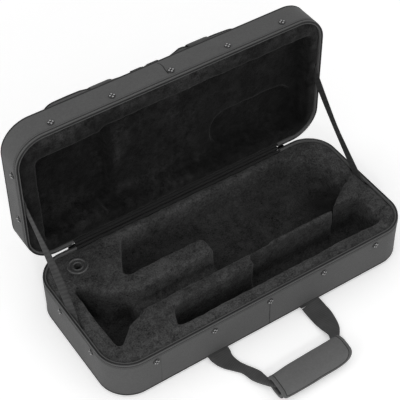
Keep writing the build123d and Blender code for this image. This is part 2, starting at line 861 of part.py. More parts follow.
def build_handle():
    """Carry handle with its wrap."""
    save("handle_strap", carry_loop())
    save("grip_wrap", place_grip(grip_wrap()))
    save("grip_hook_tape", place_grip(closure_tape(True)))
    save("grip_loop_tape", place_grip(closure_tape(False)))
    save("grip_binding", [place_grip(band) for band in grip_binding()])


def build_main_sliders():
    """Sliders of the case's own zip, parked at its two ends."""
    for side, word in ((-1, "left"), (1, "right")):
        save(f"zip_slider_{word}", base_slider_place(slider(main_slider_length, main_slider_width), side))
        save(f"zip_pull_{word}", base_slider_place(slider_pull(main_pull_length, -side), side))


os.makedirs("parts", exist_ok=True)
build_tray("base", "bottom_panel", base_height, base_wells(base_height + 1),
           base_wells(base_height, lining_thickness), lambda piece: piece)
build_tray("lid", "top_panel", lid_depth, lid_recesses(lid_depth, lid_depth + 1),
           lid_recesses(lid_depth, lid_depth, lining_thickness), place_lid)
build_pocket()
build_handle()
build_main_sliders()
save("mouthpiece_ring", mouthpiece_ring())
save("stay_left", stay_strap(-1))
save("stay_right", stay_strap(1))
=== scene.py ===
import math

import bmesh
import bpy
import numpy as np
from mathutils import Matrix, Vector, noise


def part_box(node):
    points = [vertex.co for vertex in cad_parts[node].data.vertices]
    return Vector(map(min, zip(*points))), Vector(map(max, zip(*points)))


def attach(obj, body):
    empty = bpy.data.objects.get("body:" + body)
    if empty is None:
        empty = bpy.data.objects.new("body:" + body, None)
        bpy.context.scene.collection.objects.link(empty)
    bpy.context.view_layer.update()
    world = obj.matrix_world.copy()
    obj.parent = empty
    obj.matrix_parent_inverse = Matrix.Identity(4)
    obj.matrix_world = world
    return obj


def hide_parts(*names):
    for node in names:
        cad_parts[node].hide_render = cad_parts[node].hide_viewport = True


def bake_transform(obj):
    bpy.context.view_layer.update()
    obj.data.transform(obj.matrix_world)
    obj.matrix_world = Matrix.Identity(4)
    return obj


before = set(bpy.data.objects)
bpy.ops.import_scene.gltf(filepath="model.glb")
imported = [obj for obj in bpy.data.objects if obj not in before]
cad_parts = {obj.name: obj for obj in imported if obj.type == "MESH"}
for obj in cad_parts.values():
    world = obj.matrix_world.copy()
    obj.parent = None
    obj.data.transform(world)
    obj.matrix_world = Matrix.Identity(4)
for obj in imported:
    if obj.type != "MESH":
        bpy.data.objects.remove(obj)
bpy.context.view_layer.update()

# Zip-around soft case, lid standing open. Metres, in the CAD's frame: X along the length,
# Y towards the hinge, Z up. Each half is described as a tray, floor at height 0 and open side
# up, then put where it stands by inBase or inLid. Straps are written in millimetres.

case = {
    "halfLength": 0.280,
    "halfWidth": 0.127,
    "cornerRadius": 0.051,
    "baseDepth": 0.081,
    "lidDepth": 0.055,
    "hingeY": 0.1275,
}
lidPlaneY = case["hingeY"] + case["lidDepth"]
lidPlaneZ = case["baseDepth"] + case["hingeY"]


def inBase(x, y, z):
    return Vector((x, y, z))


def inLid(x, y, z):
    return Vector((x, lidPlaneY - z, lidPlaneZ - y))


def mm(*values):
    return tuple(v * 0.001 for v in values)


def ramp(first, last, count):
    return [first + (last - first) * k / count for k in range(count + 1)]


def clamp(value, low=0.0, high=1.0):
    return min(high, max(low, value))


def signedPower(value, power):
    return math.copysign(abs(value) ** power, value)


def planSamples(straightStep, arcStep, extraX=(), extraY=()):
    # points round the case's plan: segment kind, place on it, outward normal
    a = case["halfLength"] - case["cornerRadius"]
    b = case["halfWidth"] - case["cornerRadius"]
    samples = []
    corners = ((1, 1, 0), (-1, 1, 90), (-1, -1, 180), (1, -1, 270))
    for index, (sx, sy, start) in enumerate(corners):
        steps = max(4, round(math.pi / 2 * case["cornerRadius"] / arcStep))
        for k in range(steps):
            turn = math.radians(start + 90 * k / steps)
            samples.append(("arc", sx, sy, math.cos(turn), math.sin(turn)))
        nextCorner = corners[(index + 1) % 4]
        turn = math.radians(start + 90)
        half, extra, sign = (a, extraX, -sx) if index in (0, 2) else (b, extraY, -sy)
        steps = max(2, round(2 * half / straightStep))
        places = {k / steps for k in range(steps)}
        places |= {(sign * e / half + 1) / 2 for e in extra if abs(e) < half}
        for t in sorted(places):
            samples.append(("line", (sx, sy, t), nextCorner[:2], math.cos(turn), math.sin(turn)))
    return samples


def planPoint(sample, inset):
    # a sample's place on the plan drawn in by inset
    radius = max(case["cornerRadius"] - inset, 0.006)
    cx = case["halfLength"] - inset - radius
    cy = max(case["halfWidth"] - inset - radius, 0.0)
    if sample[0] == "arc":
        _, sx, sy, nx, ny = sample
        return sx * cx + radius * nx, sy * cy + radius * ny, nx, ny
    _, (sx, sy, t), (ex, ey), nx, ny = sample
    return cx * (sx + (ex - sx) * t) + radius * nx, cy * (sy + (ey - sy) * t) + radius * ny, nx, ny


def makeMesh(name, vertices, faces, smooth=True):
    mesh = bpy.data.meshes.new(name)
    mesh.from_pydata([tuple(v) for v in vertices], [], faces)
    mesh.update()
    if smooth:
        mesh.polygons.foreach_set("use_smooth", [True] * len(mesh.polygons))
    thing = bpy.data.objects.new(name, mesh)
    bpy.context.scene.collection.objects.link(thing)
    return thing


def faceOutwards(thing):
    work = bmesh.new()
    work.from_mesh(thing.data)
    bmesh.ops.recalc_face_normals(work, faces=work.faces)
    work.to_mesh(thing.data)
    work.free()
    return thing


def setUV(thing, uvOfVertex):
    layer = thing.data.uv_layers.new(name="weave")
    index = np.empty(len(thing.data.loops), np.int32)
    thing.data.loops.foreach_get("vertex_index", index)
    layer.data.foreach_set("uv", np.array(uvOfVertex, np.float32)[index].reshape(-1))


def gridFaces(columns, rows, loopColumns=False, loopRows=False, start=0):
    faces = []
    for c in range(columns if loopColumns else columns - 1):
        d = (c + 1) % columns
        for r in range(rows if loopRows else rows - 1):
            q = (r + 1) % rows
            faces.append(tuple(start + k for k in (c * rows + r, d * rows + r, d * rows + q, c * rows + q)))
    return faces


def ringBand(name, place, samples, profile, wobble=None, tube=False, gap=None):
    # a band round the case; profile is (inset, height), gap half the length left open at the hinge
    if gap is not None:
        points = [planPoint(s, 0.0) for s in samples]
        kept = [k for k, p in enumerate(points) if not (p[3] > 0.99 and abs(p[0]) < gap)]
        start = next((i for i in range(1, len(kept)) if kept[i] - kept[i - 1] > 1), 0)
        samples = [samples[k] for k in kept[start:] + kept[:start]]
    vertices, uv, along, before = [], [], 0.0, None
    for sample in samples:
        px, py, nx, ny = planPoint(sample, 0.0)
        along += math.dist(before, (px, py)) if before else 0.0
        before = (px, py)
        across, last = 0.0, None
        for inset, height in profile:
            across += math.dist(last, (inset, height)) if last else 0.0
            last = (inset, height)
            push = wobble(px, py, nx, ny, height) if wobble else 0.0
            x, y, _, _ = planPoint(sample, inset - push)
            vertices.append(place(x, y, height))
            uv.append((along, across))
    rows, columns = len(profile), len(samples)
    faces = gridFaces(columns, rows, gap is None, tube)
    if gap is not None and tube:
        faces += [tuple(range(rows)), tuple((columns - 1) * rows + r for r in reversed(range(rows)))]
    thing = makeMesh(name, vertices, faces)
    setUV(thing, uv)
    return thing


def applyModifiers(thing):
    depsgraph = bpy.context.evaluated_depsgraph_get()
    depsgraph.update()
    mesh = bpy.data.meshes.new_from_object(thing.evaluated_get(depsgraph))
    thing.modifiers.clear()
    thing.data = mesh
    return thing


def thicken(thing, thickness, offset=-1.0):
    solid = thing.modifiers.new("thickness", "SOLIDIFY")
    solid.thickness = thickness
    solid.offset = offset
    solid.use_even_offset = False
    return applyModifiers(thing)


def roundEdges(thing, width):
    soft = thing.modifiers.new("edges", "BEVEL")
    soft.width = width
    soft.segments = 2
    return applyModifiers(thing)


def joinMeshes(name, things):
    # several meshes as one piece, each part keeping its own finish
    work = bmesh.new()
    finishList = []
    for thing in things:
        first = len(work.faces)
        work.from_mesh(thing.data)
        material = thing.data.materials[0] if thing.data.materials else None
        if material not in finishList:
            finishList.append(material)
        work.faces.ensure_lookup_table()
        for k in range(first, len(work.faces)):
            work.faces[k].material_index = finishList.index(material)
    mesh = bpy.data.meshes.new(name)
    work.to_mesh(mesh)
    work.free()
    for material in finishList:
        if material:
            mesh.materials.append(material)
    for thing in things:
        bpy.data.objects.remove(thing)
    whole = bpy.data.objects.new(name, mesh)
    bpy.context.scene.collection.objects.link(whole)
    return whole


def linear(value):
    return ((value + 0.055) / 1.055) ** 2.4 if value > 0.04045 else value / 12.92


def grey(value, warm=0.0):
    return (linear(value + warm), linear(value), linear(value - warm), 1.0)


def newGroup(name, inputs):
    group = bpy.data.node_groups.new(name, "ShaderNodeTree")
    for socketName, kind, value in inputs:
        socket = group.interface.new_socket(name=socketName, in_out="INPUT", socket_type=kind)
        socket.default_value = value
    for socketName, kind in (("Color", "NodeSocketColor"), ("Height", "NodeSocketFloat"),
                             ("Roughness", "NodeSocketFloat")):
        group.interface.new_socket(name=socketName, in_out="OUTPUT", socket_type=kind)
    return group, node(group, "NodeGroupInput"), node(group, "NodeGroupOutput")


def node(tree, kind, **values):
    made = tree.nodes.new(kind)
    for key, value in values.items():
        setattr(made, key, value)
    return made


def mathNode(tree, operation, first, second=None, limited=False):
    made = node(tree, "ShaderNodeMath", operation=operation, use_clamp=limited)
    for index, value in enumerate((first, second)):
        if isinstance(value, (int, float)):
            made.inputs[index].default_value = value
        elif value is not None:
            tree.links.new(value, made.inputs[index])
    return made.outputs[0]


def total(tree, *parts, limited=False):
    # sum of outputs, each either a socket or (socket, centre, gain)
    result = 0.0
    for index, part in enumerate(parts):
        if isinstance(part, tuple):
            part = mathNode(tree, "MULTIPLY", mathNode(tree, "SUBTRACT", part[0], part[1]), part[2])
        last = index == len(parts) - 1
        result = mathNode(tree, "ADD", result, part, limited and last)
    return result


def noiseNode(tree, vector, scale, detail=2.0, roughness=0.5, distortion=0.0):
    made = node(tree, "ShaderNodeTexNoise")
    tree.links.new(vector, made.inputs["Vector"])
    settings = {"Scale": scale, "Detail": detail, "Roughness": roughness, "Distortion": distortion}
    for key, value in settings.items():
        made.inputs[key].default_value = value
    return made.outputs["Fac"]


def mixColour(tree, factor, first, second):
    made = node(tree, "ShaderNodeMix", data_type="RGBA", blend_type="MIX")
    for socket, value in ((made.inputs[0], factor), (made.inputs[6], first), (made.inputs[7], second)):
        if isinstance(value, (int, float, tuple)):
            socket.default_value = value
        else:
            tree.links.new(value, socket)
    return made.outputs[2]


def putOut(group, out, **values):
    # links each value to the group's output of that name
    for name, value in values.items():
        group.links.new(value, out.inputs[name])


def waves(tree, vector, frequency):
    # the vector times a frequency, its three parts as outputs
    scaled = node(tree, "ShaderNodeVectorMath", operation="SCALE")
    tree.links.new(vector, scaled.inputs[0])
    tree.links.new(frequency, scaled.inputs["Scale"])
    split = node(tree, "ShaderNodeSeparateXYZ")
    tree.links.new(scaled.outputs[0], split.inputs[0])
    return split.outputs


def wovenGroup():
    # plain weave seen on any side, with thread variation, slubs and soft fading
    group, given, out = newGroup("wovenCloth", [
        ("Thread", "NodeSocketFloat", 0.0011), ("Dark", "NodeSocketColor", grey(0.3)),
        ("Light", "NodeSocketColor", grey(0.4)), ("Contrast", "NodeSocketFloat", 0.35),
        ("Fading", "NodeSocketFloat", 0.5)])
    place = node(group, "ShaderNodeTexCoord")
    here = place.outputs["Object"]
    facing = node(group, "ShaderNodeSeparateXYZ")
    group.links.new(place.outputs["Normal"], facing.inputs[0])
    frequency = mathNode(group, "DIVIDE", math.pi, given.outputs["Thread"])
    squares = []
    for part, lean in zip(waves(group, here, frequency), facing.outputs):
        wave = mathNode(group, "SINE", part)
        across = mathNode(group, "SUBTRACT", 1.0, mathNode(group, "MULTIPLY", lean, lean))
        squares.append(mathNode(group, "MULTIPLY", mathNode(group, "MULTIPLY", wave, wave), across))
    weave = mathNode(group, "MULTIPLY", total(group, *squares), 0.5)
    fibre = noiseNode(group, here, 2600.0, 2.0, 0.6)
    slub = noiseNode(group, here, 300.0, 4.0, 0.65)
    cloud = noiseNode(group, here, 16.0, 3.0, 0.55)
    shade = total(group, 0.5, (weave, 0.5, given.outputs["Contrast"]), (fibre, 0.5, 0.5), (slub, 0.5, 0.9),
                  (cloud, 0.5, given.outputs["Fading"]), limited=True)
    colour = mixColour(group, shade, given.outputs["Dark"], given.outputs["Light"])
    putOut(group, out, Color=colour, Height=total(group, weave, (fibre, 0.0, 0.5)),
           Roughness=total(group, 0.72, (slub, 0.0, 0.25)))
    return group


def pileGroup():
    # short plush pile: brushed patches, clumps and single fibres over a tone painted on the mesh, which
    # carries painted light and shade
    group, given, out = newGroup("plushPile", [
        ("Tone", "NodeSocketFloat", 0.5), ("Dark", "NodeSocketColor", grey(0.04)),
        ("Light", "NodeSocketColor", grey(0.3)), ("Patches", "NodeSocketFloat", 1.0)])
    here = node(group, "ShaderNodeTexCoord").outputs["Object"]
    patch = noiseNode(group, here, 34.0, 4.0, 0.66, 0.8)
    clump = noiseNode(group, here, 110.0, 3.0, 0.65, 0.5)
    tuft = noiseNode(group, here, 420.0, 3.0, 0.7)
    fibre = noiseNode(group, here, 1300.0, 2.0, 0.6)
    patches = given.outputs["Patches"]
    brushed = total(group, 1.0, (patch, 0.5, patches), (clump, 0.5, patches), (tuft, 0.5, 3.4),
                    (fibre, 0.5, 1.0))
    painted = mathNode(group, "MULTIPLY", given.outputs["Tone"], brushed)
    shade = total(group, painted, (fibre, 0.5, 0.10), limited=True)
    colour = mixColour(group, shade, given.outputs["Dark"], given.outputs["Light"])
    putOut(group, out, Color=colour, Height=total(group, clump, (fibre, 0.0, 0.35)),
           Roughness=total(group, 0.8, (fibre, 0.0, 0.2)))
    return group


def webbingGroup():
    # flat woven strap: ribs along it, crossing picks; its UV map is in metres
    group, given, out = newGroup("webbingWeave", [
        ("Dark", "NodeSocketColor", grey(0.12)), ("Light", "NodeSocketColor", grey(0.22)),
        ("Rib", "NodeSocketFloat", 0.0016)])
    place = node(group, "ShaderNodeUVMap", uv_map="weave").outputs["UV"]
    here = node(group, "ShaderNodeTexCoord").outputs["Object"]
    parts = waves(group, place, mathNode(group, "DIVIDE", 2 * math.pi, given.outputs["Rib"]))
    across = mathNode(group, "SINE", parts[0])
    picks = mathNode(group, "SINE", mathNode(group, "MULTIPLY", parts[1], 0.5))
    slanted = mathNode(group, "SINE", total(group, parts[1], (parts[0], 0.0, 0.5)))
    twill = mathNode(group, "MULTIPLY", across, slanted)
    fibre = noiseNode(group, here, 2200.0, 2.0, 0.6)
    cloud = noiseNode(group, here, 60.0, 2.0, 0.5)
    height = total(group, (twill, 0.0, 0.3), (across, 0.0, 0.2), (picks, 0.0, 0.35))
    shade = total(group, 0.5, (height, 0.0, 0.4), (fibre, 0.5, 0.6), (cloud, 0.5, 0.6), limited=True)
    colour = mixColour(group, shade, given.outputs["Dark"], given.outputs["Light"])
    putOut(group, out, Color=colour, Height=total(group, height, (fibre, 0.0, 0.3)),
           Roughness=total(group, 0.7, (fibre, 0.0, 0.25)))
    return group


def wornGroup():
    # moulded or enamelled small parts: fine orange peel, dull handling marks
    group, given, out = newGroup("handledSurface", [
        ("Dark", "NodeSocketColor", grey(0.08)), ("Light", "NodeSocketColor", grey(0.2)),
        ("Shine", "NodeSocketFloat", 0.4)])
    here = node(group, "ShaderNodeTexCoord").outputs["Object"]
    peel = noiseNode(group, here, 1800.0, 2.0, 0.5)
    marks = noiseNode(group, here, 420.0, 4.0, 0.65)
    shade = total(group, (marks, 0.35, 1.2), limited=True)
    colour = mixColour(group, shade, given.outputs["Dark"], given.outputs["Light"])
    putOut(group, out, Color=colour, Height=peel,
           Roughness=total(group, given.outputs["Shine"], (marks, 0.5, 0.3)))
    return group


groups = {"woven": wovenGroup(), "pile": pileGroup(), "webbing": webbingGroup(), "worn": wornGroup()}


reliefDepth = {"woven": 0.00012, "webbing": 0.00018, "worn": 0.00002}


def makeMaterial(name, kind, values, depth, specular, sheen=0.0):
    material = bpy.data.materials.new(name)
    material.use_nodes = True
    tree = material.node_tree
    shader = tree.nodes["Principled BSDF"]
    detail = node(tree, "ShaderNodeGroup", node_tree=groups[kind])
    for key, value in values.items():
        detail.inputs[key].default_value = value
    if kind == "pile":
        painted = node(tree, "ShaderNodeAttribute", attribute_name="tone")
        tree.links.new(painted.outputs["Fac"], detail.inputs["Tone"])
    tree.links.new(detail.outputs["Color"], shader.inputs["Base Color"])
    tree.links.new(detail.outputs["Roughness"], shader.inputs["Roughness"])
    relief = node(tree, "ShaderNodeBump")
    relief.inputs["Distance"].default_value = depth
    tree.links.new(detail.outputs["Height"], relief.inputs["Height"])
    tree.links.new(relief.outputs["Normal"], shader.inputs["Normal"])
    shader.inputs["Specular IOR Level"].default_value = specular
    shader.inputs["Sheen Weight"].default_value = sheen
    shader.inputs["Sheen Roughness"].default_value = 0.4
    return material


def cloth(name, dark, light, thread=0.0009, contrast=0.4, fading=0.35):
    values = {"Thread": thread, "Dark": grey(dark), "Light": grey(light), "Contrast": contrast,
              "Fading": fading}
    return makeMaterial(name, "woven", values, reliefDepth["woven"], 0.2, 0.1)


def straps(name, dark, light, rib=0.0016):
    values = {"Dark": grey(dark), "Light": grey(light), "Rib": rib}
    return makeMaterial(name, "webbing", values, reliefDepth["webbing"], 0.2, 0.1)


def handled(name, dark, light, shine, specular):
    values = {"Dark": grey(dark), "Light": grey(light), "Shine": shine}
    return makeMaterial(name, "worn", values, reliefDepth["worn"], specular)


def pile(name, dark, light, patches, depth, sheen):
    values = {"Dark": grey(dark), "Light": grey(light), "Patches": patches}
    return makeMaterial(name, "pile", values, depth, 0.1, sheen)


finishes = {
    "cover": cloth("greyNylon", 0.30, 0.40),
    "piping": cloth("greyPiping", 0.17, 0.26, 0.0007, 0.5),
    "tape": cloth("greyTape", 0.31, 0.41, 0.0006, 0.5, 0.3),
    "binding": cloth("rimBinding", 0.30, 0.41, 0.0006, 0.5, 0.3),
    "grip": cloth("greyGripCloth", 0.36, 0.45, 0.0008, 0.4, 0.4),
    "gripEdge": cloth("gripEdgeTape", 0.34, 0.43, 0.0006, 0.5, 0.4),
    # dark thread, also used for the ring that paints shade in the rim groove
    "thread": cloth("darkThreadAndGrooveShade", 0.07, 0.13, 0.0004, 0.5, 0.3),
    "lidPocket": cloth("pocketNylon", 0.31, 0.41),
    "basePlush": pile("blackPlush", 0.035, 0.34, 1.7, 0.0011, 0.12),
    "lidPlush": pile("blackPlushLid", 0.03, 0.34, 3.0, 0.0009, 0.08),
    "webbing": straps("darkWebbing", 0.20, 0.35),
    "stay": straps("stayWebbing", 0.12, 0.30, 0.0034),
    "teeth": handled("zipTeeth", 0.05, 0.11, 0.42, 0.4),
    "hinge": cloth("darkHingeCloth", 0.09, 0.17, 0.0006, 0.5, 0.3),
    "metal": handled("blackEnamel", 0.03, 0.08, 0.2, 0.5),
    # light finish on the rivet pads: a painted highlight
    "padHighlight": handled("rivetPadHighlights", 0.58, 0.80, 0.35, 0.6),
    "rubber": handled("ringRubber", 0.24, 0.33, 0.32, 0.6),
    "board": handled("foamBoard", 0.1, 0.18, 0.85, 0.1),
}


def paint(thing, key):
    thing.data.materials.clear()
    thing.data.materials.append(finishes[key])
    return thing


def finish(thing, key, body, slotName, *nodes):
    # its material, the body it rides on, its slot name, which is not used, and the solids that it replaces
    if key:
        paint(thing, key)
    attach(thing, body)
    if nodes:
        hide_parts(*nodes)
    return thing


def twoTone(thing, key, chosen):
    # a second finish on the faces for which chosen is true
    thing.data.materials.append(finishes[key])
    for face in thing.data.polygons:
        if chosen(face):
            face.material_index = 1


print("stage: materials")

view = {"place": (-0.7856, -1.1268, 1.6126), "target": (0.0624, 0.1637, 0.0), "lens": 116.2, "roll": -0.0075}


def lookAt(place, target):
    turned = (Vector(target) - Vector(place)).to_track_quat("-Z", "Y")
    return Matrix.Translation(Vector(place)) @ turned.to_matrix().to_4x4()


def setCamera():
    camera = bpy.data.objects.new("photoCamera", bpy.data.cameras.new("photoCamera"))
    bpy.context.scene.collection.objects.link(camera)
    camera.matrix_world = lookAt(view["place"], view["target"]) @ Matrix.Rotation(view["roll"], 4, "Z")
    camera.data.lens = view["lens"]
    camera.data.sensor_width = 36
    camera.data.clip_end = 30
    bpy.context.scene.camera = camera


studio = {"ambient": 0.62, "floorLift": 0.34, "floorHalf": 6, "floorDrop": 0.0002, "aim": (0, 0, 0.1),
          "lamps": {"frontBox": ((-1.0, -2.2, 1.5), (0.26, 0.26), 10.0),
                    "leftBox": ((-2.0, -0.6, 1.2), (1.4, 1.4), 6.0),
                    "topBox": ((0.3, -0.1, 2.4), (1.8, 1.8), 2.6)}}


def seenBy(tree, firstRay, *otherRays):
    # 1 for the named kinds of ray
    path = node(tree, "ShaderNodeLightPath")
    seen = path.outputs[firstRay]
    for ray in otherRays:
        seen = mathNode(tree, "MAXIMUM", seen, path.outputs[ray])
    return seen


def setWorld():
    world = bpy.data.worlds.new("studio")
    world.use_nodes = True
    bpy.context.scene.world = world
    tree = world.node_tree
    background = tree.nodes["Background"]
    seen = seenBy(tree, "Is Camera Ray", "Is Glossy Ray", "Is Transmission Ray")
    background.inputs["Color"].default_value = (1.0, 1.0, 1.0, 1.0)
    strength = total(tree, studio["ambient"], (seen, 0.0, 1.0 - studio["ambient"]))
    tree.links.new(strength, background.inputs["Strength"])


def setLamps():
    for name, (place, size, power) in studio["lamps"].items():
        lamp = bpy.data.lights.new(name, "AREA")
        lamp.shape = "RECTANGLE"
        lamp.size, lamp.size_y = size
        lamp.energy = power
        thing = bpy.data.objects.new(name, lamp)
        bpy.context.scene.collection.objects.link(thing)
        thing.matrix_world = lookAt(place, studio["aim"])


def setFloor():
    material = bpy.data.materials.new("paleFloor")
    material.use_nodes = True
    tree = material.node_tree
    shader = tree.nodes["Principled BSDF"]
    speck = noiseNode(tree, node(tree, "ShaderNodeTexCoord").outputs["Object"], 30.0)
    colour = mixColour(tree, speck, (0.97, 0.97, 0.97, 1), (0.99, 0.99, 0.99, 1))
    tree.links.new(colour, shader.inputs["Base Color"])
    shader.inputs["Roughness"].default_value = 0.9
    shader.inputs["Specular IOR Level"].default_value = 0.0
    seen = seenBy(tree, "Is Camera Ray", "Is Glossy Ray")
    tree.links.new(mixColour(tree, seen, (0, 0, 0, 1), (1, 1, 1, 1)), shader.inputs["Emission Color"])
    shader.inputs["Emission Strength"].default_value = studio["floorLift"]
    half = studio["floorHalf"]
    corners = [(-half, -half, 0), (half, -half, 0), (half, half, 0), (-half, half, 0)]
    floor = makeMesh("floor", corners, [(0, 1, 2, 3)], smooth=False)
    floor.location.z = -studio["floorDrop"]
    floor.data.materials.append(material)


bpy.context.scene.view_settings.view_transform = "Standard"
setCamera()
setWorld()
setLamps()
setFloor()
print("stage: camera and studio")

# drop is measured from the rim; edge, rise and bump are heights of the head and of its four pads; each pad's
# middle carries a painted highlight
rivetPlan = {"drop": 0.0185, "spacing": 0.104, "count": 5, "sideY": (-0.058, 0.036), "radius": 0.0055,
             "rise": 0.0010, "edge": 0.0004, "sunk": 0.0008, "bump": 0.0015, "bumpPlace": 0.0032,
             "bumpReach": 0.0021, "paintedHighlight": 0.0016, "turned": 10, "rings": 18, "sides": 48}
# wave and pucker are noise scales round the wall and up it; each seam is a path of (x, height)
skin = {"sink": 0.0009, "sinkReach": 0.009, "sinkMost": 0.00095, "waviness": 0.0005, "wave": (14, 22),
        "pucker": (60, 45), "puckerShare": 0.4, "seamWidth": 0.0014, "seamDepth": 0.0008,
        "grooveLow": 0.0072, "grooveHigh": 0.0056, "meshStep": (0.006, 0.004),
        "seams": {"base": [(0.001, 0.006), (0.0, 0.034), (0.0005, 0.056)],
                  "lid": [(-0.0090, 0.009), (-0.0052, 0.0145), (-0.0045, 0.022), (-0.0062, 0.029),
                          (-0.0066, 0.040)]}}
welt = {"inset": 0.00115, "height": 0.006, "radius": 0.0013}


def rivetSpots(depth):
    level = depth - rivetPlan["drop"]
    first = -rivetPlan["spacing"] * (rivetPlan["count"] - 1) / 2
    spots = [(first + rivetPlan["spacing"] * k, -case["halfWidth"], level, 0.0, -1.0)
             for k in range(rivetPlan["count"])]
    for side in (-1.0, 1.0):
        spots += [(side * case["halfLength"], y, level, side, 0.0) for y in rivetPlan["sideY"]]
    return spots


def seamX(path, height):
    return float(np.interp(height, [p[1] for p in path], [p[0] for p in path]))


def wallWobble(word, depth, seed):
    # how far the wall's cloth stands out: soft waves, sunk round each rivet and along the join
    spots = rivetSpots(depth)
    path = skin["seams"][word]

    def push(px, py, nx, ny, height):
        across, up = skin["wave"]
        wave = noise.noise(Vector((px * across + seed, py * across, height * up))) * skin["waviness"]
        across, up = skin["pucker"]
        pucker = noise.noise(Vector((px * across, py * across + seed, height * up)))
        pucker = pucker * skin["waviness"] * skin["puckerShare"]
        fade = clamp((height - 0.007) / 0.008) * clamp((depth - 0.008 - height) / 0.006)
        value = (wave + pucker) * fade
        for sx, sy, sz, ox, oy in spots:
            if nx * ox + ny * oy > 0.9:
                away = math.dist((px, py, height), (sx, sy, sz)) - rivetPlan["radius"] * 0.6
                if away < skin["sinkReach"]:
                    value -= skin["sink"] * (1 - clamp(away / skin["sinkReach"])) ** 2
        if ny < -0.9 and path[0][1] - 0.001 < height < path[-1][1]:
            off = abs(px - seamX(path, height)) / skin["seamWidth"]
            value -= skin["seamDepth"] * clamp(1 - off)
        return max(value, -skin["sinkMost"])
    return push


def wallSamples(word, depth):
    # the plan's points, closer together at the join and near each rivet
    path = skin["seams"][word]
    low, high = min(p[0] for p in path) - 0.003, max(p[0] for p in path) + 0.003
    around = [k * 0.002 for k in range(-7, 8)]
    extraX = ramp(low, high, round((high - low) / 0.0005)) + [-zipPlan["endX"], zipPlan["endX"]]
    for spot in rivetSpots(depth)[:rivetPlan["count"]]:
        extraX += [spot[0] + step for step in around]
    extraY = [y + step for y in rivetPlan["sideY"] for step in around]
    return planSamples(*skin["meshStep"], extraX, extraY)


def wallCover(word, place, depth, seed):
    # from the welt at the floor up to the groove under the zip tape, both hems turned in
    top = depth - skin["grooveLow"]
    profile = [(0.0022, 0.0062), (0.0012, 0.0068), (0.0005, 0.0078), (0.0001, 0.0095)]
    profile += [(0.0, z) for z in ramp(0.0115, top - 0.0012, round(depth * 450))]
    profile += [(0.0001, top - 0.0006), (0.0003, top - 0.0002), (0.0007, top), (0.00095, top)]
    push = wallWobble(word, depth, seed)
    cover = ringBand(word + "WallCover", place, wallSamples(word, depth), profile, push)
    finish(faceOutwards(cover), "cover", word, "nylon_cover", word + "_wall_cover")


def floorPanel(word, place, panelNode, seed):
    samples = planSamples(0.012, 0.008)
    edge = [(0.0024, 0.0056), (0.0016, 0.0049), (0.0024, 0.0036), (0.0040, 0.0020), (0.0065, 0.0007),
            (0.0100, 0.0)]
    insets = [0.014, 0.022, 0.034, 0.050, 0.068, 0.086, 0.104, 0.118, 0.1255]
    crown = -0.0006 if word == "lid" else 0.0
    vertices = []
    for sample in samples:
        for inset, z in edge + [(i, None) for i in insets]:
            x, y, _, _ = planPoint(sample, inset)
            if z is None:
                wave = 1.0 + noise.noise(Vector((x * 9 + seed, y * 9, 0.3)))
                z = crown * clamp((inset - 0.010) / 0.03) * wave * 0.5
            vertices.append(place(x, y, z))
    rows = len(edge) + len(insets)
    faces = gridFaces(len(samples), rows, True)
    faces.append(tuple(c * rows + rows - 1 for c in range(len(samples))))
    panel = faceOutwards(makeMesh(word + "Panel", vertices, faces))
    finish(panel, "cover", word, "nylon_cover", panelNode)


# endX is where the zip stops on the hinge side; top, low and tapeTop are measured from the rim
zipPlan = {"endX": 0.2, "pitch": 0.0019, "length": 0.0012, "top": 0.00018, "low": 0.0016, "outer": 0.0004,
           "inner": 0.0030, "outerCorner": 0.0004, "innerCorner": 0.0005, "endDrop": 0.0002,
           "tapeTop": 0.0018, "tapeWall": 0.0003}


def walkPlan(step, endX):
    # evenly spaced places round the plan, from one side of the hinge-side gap to the other
    points = [planPoint(s, 0.0) for s in planSamples(0.002, 0.001)]
    start = next(k for k, p in enumerate(points) if p[3] > 0.99 and p[0] < -endX)
    points = [p for p in points[start:] + points[:start] if not (p[3] > 0.99 and abs(p[0]) < endX)]
    places, carry = [], 0.0
    for first, second in zip(points, points[1:]):
        length = math.dist(first[:2], second[:2])
        while carry < length:
            places.append([a + (b - a) * carry / length for a, b in zip(first, second)])
            carry += step
        carry -= length
    return places


def rowOfBits(name, place, step, endX, half, rings):
    # the same small closed bit repeated round the case; rings: (shift along, [(out, height), ...])
    vertices, faces = [], []
    sides = len(rings[0][1])
    for x, y, nx, ny in walkPlan(step, endX):
        start = len(vertices)
        for shift, ring in rings:
            for out, height in ring:
                px = x + nx * out - ny * shift * half
                py = y + ny * out + nx * shift * half
                vertices.append(place(px, py, height))
        faces += gridFaces(len(rings), sides, False, True, start)
        faces.append(tuple(start + k for k in range(sides)))
        faces.append(tuple(start + (len(rings) - 1) * sides + k for k in reversed(range(sides))))
    return makeMesh(name, vertices, faces)


def zipTeeth(word, place, depth):
    high, low = depth - zipPlan["top"], depth - zipPlan["low"]
    outer, inner = -zipPlan["outer"], -zipPlan["inner"]
    outCut, inCut = zipPlan["outerCorner"], zipPlan["innerCorner"]
    rings = []
    for shift, drop in ((-1, zipPlan["endDrop"]), (-0.55, 0.0), (0.55, 0.0), (1, zipPlan["endDrop"])):
        rings.append((shift, [(outer, low), (outer, high - outCut - drop), (outer - outCut, high - drop),
                              (inner + inCut, high - drop), (inner, high - inCut - drop), (inner, low)]))
    half = zipPlan["length"] / 2
    teeth = rowOfBits(word + "ZipTeeth", place, zipPlan["pitch"], zipPlan["endX"], half, rings)
    finish(faceOutwards(teeth), "teeth", word, "zip_teeth", word + "_zip_teeth")


def zipTape(word, place, depth, samples):
    low, high = depth - skin["grooveHigh"], depth - zipPlan["tapeTop"]
    profile = [(0.00095, low), (0.0006, low + 0.0001), (0.0002, low + 0.0005), (0.0001, low + 0.0015),
               (0.0002, high - 0.0008), (0.0005, high - 0.0002), (0.0010, high), (0.0036, high + 0.0001)]
    tape = ringBand(word + "ZipTape", place, samples, profile, gap=zipPlan["endX"])
    finish(thicken(tape, zipPlan["tapeWall"], 0.0), "tape", word, "zip_tape", word + "_zip_tape")


